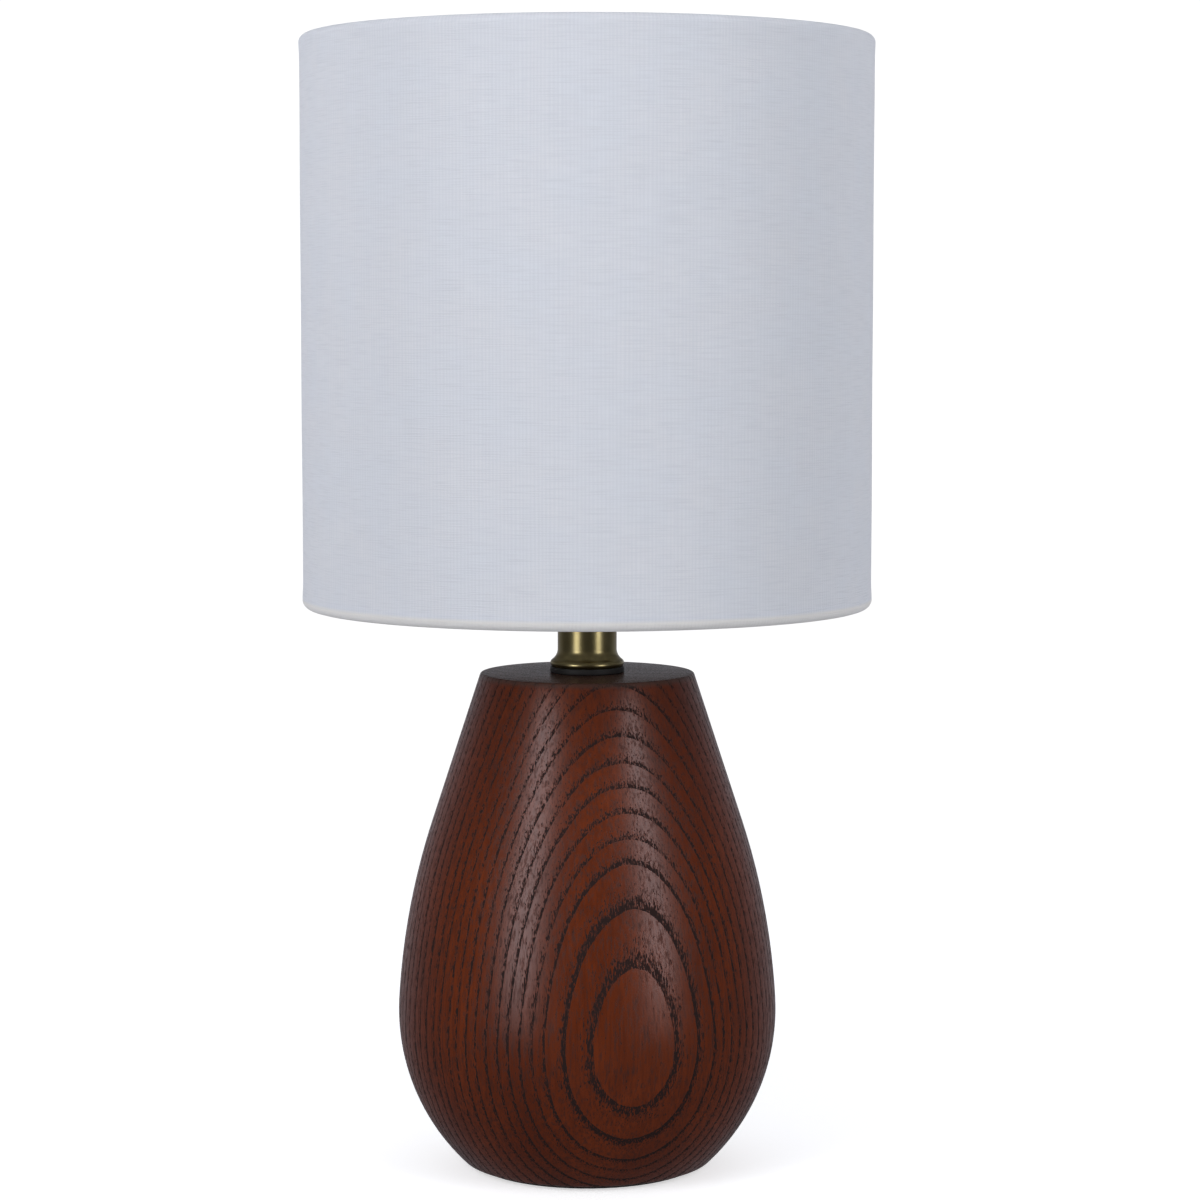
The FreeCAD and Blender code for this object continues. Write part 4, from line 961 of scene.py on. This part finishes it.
class LAMP_OT_shade(bpy.types.Operator):
    """Stretch the shade's fabric over its liner and roll it in over both rings"""
    bl_idname = "lamp.shade"
    bl_label = "Shade"

    def execute(self, context):
        s = in_mm()
        liner_low, liner_high = corners("shade_liner")
        wall = liner_high[0]
        # The liner keeps 0.02 mm off its solid's outside, where the cloth begins
        back, face = wall - 0.6, wall - 0.02
        outline = softened(joined(
            (back, liner_low[2]), (face, liner_low[2]), (face, liner_high[2]),
            (back, liner_high[2])), 0.1)
        piece("styrene_liner", turned(outline, 192), "shade_liner")
        ring_low, ring_high = corners("top_ring")
        top_ring = (ring_low[2] + ring_high[2]) / 2
        low_ring, ring = liner_low[2], ring_high[0] - s.wire_radius
        half, play, proud_by = s.fabric_thickness / 2, 0.1, 0.3
        inner, proud = s.wire_radius + play + half, wall + half + proud_by - ring
        low, high = corners("shade_fabric")
        hem_top, hem_bottom = high[2] - s.hem_depth, low[2] + s.hem_depth
        turn = np.linspace(0, pi / 2, 9)[:, None]
        # The roll stands prouder than it is deep, a little more at the bottom
        crown, hang = inner + 0.5, inner + 0.9
        inside = np.hstack([-np.cos(turn) * inner, np.sin(turn) * crown])
        outside = np.hstack([np.sin(turn) * proud, np.cos(turn) * crown])
        lower = np.array((1, -hang / crown))
        over = joined((ring - inner, hem_top), inside + (ring, top_ring),
                      outside + (ring, top_ring))
        under = joined((ring - inner, hem_bottom), inside * lower + (ring, low_ring),
                       outside * lower + (ring, low_ring))
        middle = joined(over, under[::-1])
        along = np.r_[0, np.cumsum(np.hypot(*np.diff(middle, axis=0).T))]
        total = along[-1]
        # Columns every 2 degrees, and close together at the sides of the slots and the lap.
        # A slot is 4 mm wide at 97 mm from the axis. The lap lies at the back, is 12 mm
        # wide and eases off over 0.06 of a radian
        half_slot, side, lap_width, ease = 2 / 97, 0.0004, 12, 0.06
        lap_edge = radians(101)
        lap_end = lap_edge + lap_width / wall
        fine = [radians(angle) + off for angle in ARM_ANGLES.values()
                for off in (-half_slot - side, -half_slot, half_slot, half_slot + side)]
        fine += [lap_edge - 0.0006, lap_edge, lap_end, lap_end + ease / 2, lap_end + ease]
        angle = np.unique(np.r_[np.linspace(0, 2 * pi, 180, endpoint=False), fine])
        off_arm = np.min([np.abs((angle - radians(at) + pi) % (2 * pi) - pi)
                          for at in ARM_ANGLES.values()], axis=0)
        slot_end = top_ring - hem_top + inner * radians(30)
        start = np.where(off_arm < half_slot + side / 2, slot_end, 0)
        rim = s.hem_depth
        part = np.linspace(0, 1, 12)[:, None]
        rest = np.unique(np.r_[along[along > rim + 2], np.linspace(rim + 2, total, 90)])[:, None]
        way = np.vstack([start + (rim - start) * part, rest + 0 * angle])
        radius = np.interp(way, along, middle[:, 0])
        height = np.interp(way, along, middle[:, 1])
        # Within some 3 mm from a ring the wall sinks in by 0.3 mm, less a waver of
        # 0.07 + 0.07 sin(3 a + 0.03 z) sin(0.055 z + 1.7)
        from_rim = np.minimum(top_ring - height, height - low_ring)
        on_wall = (radius > ring) & (from_rim > 0)
        sunk = proud_by * (1 - np.exp(-(np.maximum(from_rim, 0) / 3.2) ** 2))
        waver = 0.07 + 0.07 * np.sin(3 * angle + 0.03 * height) * np.sin(0.055 * height + 1.7)
        radius = radius - on_wall * sunk * (1 - waver / proud_by)
        # The fabric's end laps over its start, lifted by its thickness, with a cut edge
        lap = (angle >= lap_edge) * (1 - ramp(angle - lap_end, ease)) * s.fabric_thickness
        slope_r, slope_z = (np.gradient(middle[:, at], along) for at in (0, 1))
        radius = radius - lap * np.interp(way, along, slope_z)
        height = height + lap * np.interp(way, along, slope_r)
        around = np.r_[angle, angle[0] + 2 * pi] * wall
        uv = np.stack([0 * way[:, :1] + around, np.hstack([way, way[:, :1]])], -1)
        cloth = piece("linen_cloth", about_z(radius, angle, height), "shade_fabric",
                      closed=False, uv=uv, smooth=50)
        thick = cloth.modifiers.new("thickness", "SOLIDIFY")
        thick.thickness = s.fabric_thickness * MM
        thick.offset = 0
        thick.use_even_offset = False
        return {"FINISHED"}


class LAMP_OT_finial(bpy.types.Operator):
    """Turn the finial and knurl its head"""
    bl_idname = "lamp.finial"
    bl_label = "Finial"

    def execute(self, context):
        base = corners("finial")[0][2]
        # A foot, a waist and a head with wide edges, over a blind hole for the post
        foot, foot_top, waist, waist_top, head, tall, edge = 6.8, 2, 4.8, 3.6, 6.6, 16.6, 1.8
        bore, hole_end = 3.2, 12.4
        outline = softened(joined(
            (bore, 0), (foot, 0), (foot, foot_top), (waist, foot_top), (waist, waist_top),
            (head, waist_top + edge), (head, tall - edge), (head - edge, tall), (0, tall)),
            0.5, closed=False)
        outline = joined(divided(outline, 0.8), (0, hole_end), (bore, hole_end)) + (0, base)
        ribs = 36

        def knurled(radius, height, angle):
            """Rolls shallow ribs, 0.22 mm deep, into the upright side of the head."""
            side = ramp(height - base - waist_top - edge - 0.6, 0.8) * ramp(
                base + tall - edge - 0.6 - height, 0.8)
            return radius - 0.11 * (1 - np.cos(ribs * angle)) * side * (radius > head - 0.6)

        piece("knurled_finial", turned(outline, ribs * 8, knurled), "finial")
        return {"FINISHED"}


class LAMP_OT_stage(bpy.types.Operator):
    """Set up the pale floor, the soft lights, the white surroundings and the camera"""
    bl_idname = "lamp.stage"
    bl_label = "Stage"

    def execute(self, context):
        scene = context.scene
        # The floor lies 0.2 mm under the felt, so that the two don't share a surface
        wide, under = 2500, -0.2
        radius = np.linspace(0, 1, 41) ** 2 * wide
        outline = np.stack([radius, 0 * radius + under], -1)
        mesh = grid_mesh("pale_floor", turned(outline, 96), closed=False)
        mesh.flip_normals()
        floor = placed("pale_floor", mesh)
        made, node = begin("Pale floor, fading out")
        reach = node("VectorMath LENGTH", node("TexCoord").outputs["Object"])
        fade = node("ValToRGB", reach, stops=((0.3, 1), (0.95, 0)))
        # Clear from underneath, so that the foot of the lamp can be looked at
        above = node("SUBTRACT", 1, node("NewGeometry").outputs["Backfacing"])
        fade = node("MULTIPLY", fade, above)
        grain = node("MULTIPLY", pattern(node, 3, detail=3), 0.3)
        tint = node("Mix RGBA", grain, "floor", "#EFEFEE")
        node("OutputMaterial", node("BsdfPrincipled", inputs={
            "Base Color": tint, "Alpha": fade, "Emission Color": (1, 1, 1, 1),
            "Emission Strength": 0.55, "Roughness": 0.8, "Specular IOR Level": 0.2}))
        mesh.materials.append(made)
        # The lamp gets its light from the boxes and the surroundings, not from the floor
        floor.visible_diffuse = floor.visible_glossy = False

        scene.world, node = begin("White studio", "worlds")
        side = node("SeparateXYZ", node("TexCoord").outputs["Generated"]).outputs
        front = node("MULTIPLY_ADD", side["Y"], 0.5, 0.5)
        front = node("ValToRGB", front, stops=(
            (0, 0.1), (0.35, 0.12), (0.62, 0.17), (0.82, 0.5), (0.93, 0.58), (1, 0.78)))
        above = node("ValToRGB", side["Z"], stops=((0.25, 0), (0.85, 1)))
        below = node("MULTIPLY", side["Z"], -1)
        below = node("ValToRGB", below, stops=((0.05, 0), (0.4, 1), (0.95, 0.5)))
        # Glossy surfaces see the surroundings darker, as if they stood further off
        path = node("LightPath").outputs
        dim = node("MULTIPLY_ADD", path["Is Glossy Ray"], -0.28, 1)
        glow = node("MULTIPLY_ADD", path["Is Glossy Ray"], -0.6, 0.66)
        level = node("MULTIPLY_ADD", above, 0.3, front)
        level = node("MULTIPLY", level, dim)
        table = node("MULTIPLY", below, path["Is Glossy Ray"])
        table = node("MULTIPLY_ADD", table, -0.6, 1)
        level = node("MULTIPLY", level, table)
        level = node("MULTIPLY_ADD", below, glow, level)
        studio = node("Background", "#F2F5FF", level)
        white = node("Background", (1, 1, 1, 1), 1.05)
        node("OutputWorld", node("MixShader", path["Is Camera Ray"], studio, white))

        # Two tall softboxes stand off in front of the lamp and lean down a little
        off, up, tall, lean = 1.3, 0.72, 1.37, radians(83)
        for name, angle, power, wide in (("left_softbox", radians(-41), 13.1, 0.46),
                                         ("right_softbox", radians(45), 9.8, 0.38)):
            light = bpy.data.lights.new(name, "AREA")
            light.shape = "RECTANGLE"
            light.size, light.size_y = wide, tall
            light.energy = power
            light.color = linear("#F9FAFF")
            made = placed(name, light)
            made.location = (off * sin(angle), -off * cos(angle), up)
            made.rotation_euler = (lean, 0, angle)

        # The camera that fits the photograph's perspective looks down by 4.9 degrees
        data = bpy.data.cameras.new("camera")
        data.lens, data.sensor_width, data.clip_end = 99.58, 36, 20
        scene.camera = placed("camera", data)
        scene.camera.location = (0.0046, -1.1861, 0.3067)
        scene.camera.rotation_euler = (pi / 2 - 0.0861, 0, 0)
        scene.view_settings.view_transform = "Standard"
        return {"FINISHED"}


class LAMP_PT_panel(bpy.types.Panel):
    """Sizes, colours and the steps that make the lamp"""
    bl_idname = "LAMP_PT_panel"
    bl_label = "Table lamp"
    bl_space_type = "VIEW_3D"
    bl_region_type = "UI"
    bl_category = "Lamp"

    def draw(self, context):
        for group in (context.scene.lamp_sizes, context.scene.lamp_colours):
            box = self.layout.box()
            for name in group.__annotations__:
                box.prop(group, name)
        for step in STEPS:
            self.layout.operator(step.bl_idname)


STEPS = (LAMP_OT_base, LAMP_OT_neck, LAMP_OT_socket, LAMP_OT_knob, LAMP_OT_harp,
         LAMP_OT_bulb, LAMP_OT_spider, LAMP_OT_shade, LAMP_OT_finial, LAMP_OT_stage)
CLASSES = (LampSizes, LampColours, *STEPS, LAMP_PT_panel)


def register():
    for item in CLASSES:
        bpy.utils.register_class(item)
    bpy.types.Scene.lamp_sizes = PointerProperty(type=LampSizes)
    bpy.types.Scene.lamp_colours = PointerProperty(type=LampColours)


def unregister():
    del bpy.types.Scene.lamp_colours, bpy.types.Scene.lamp_sizes
    for item in reversed(CLASSES):
        bpy.utils.unregister_class(item)


def main():
    """Makes every piece and the stage."""
    register()
    for step in STEPS:
        group, name = step.bl_idname.split(".")
        getattr(getattr(bpy.ops, group), name)()
    bpy.context.view_layer.update()


if __name__ == "__main__":
    main()
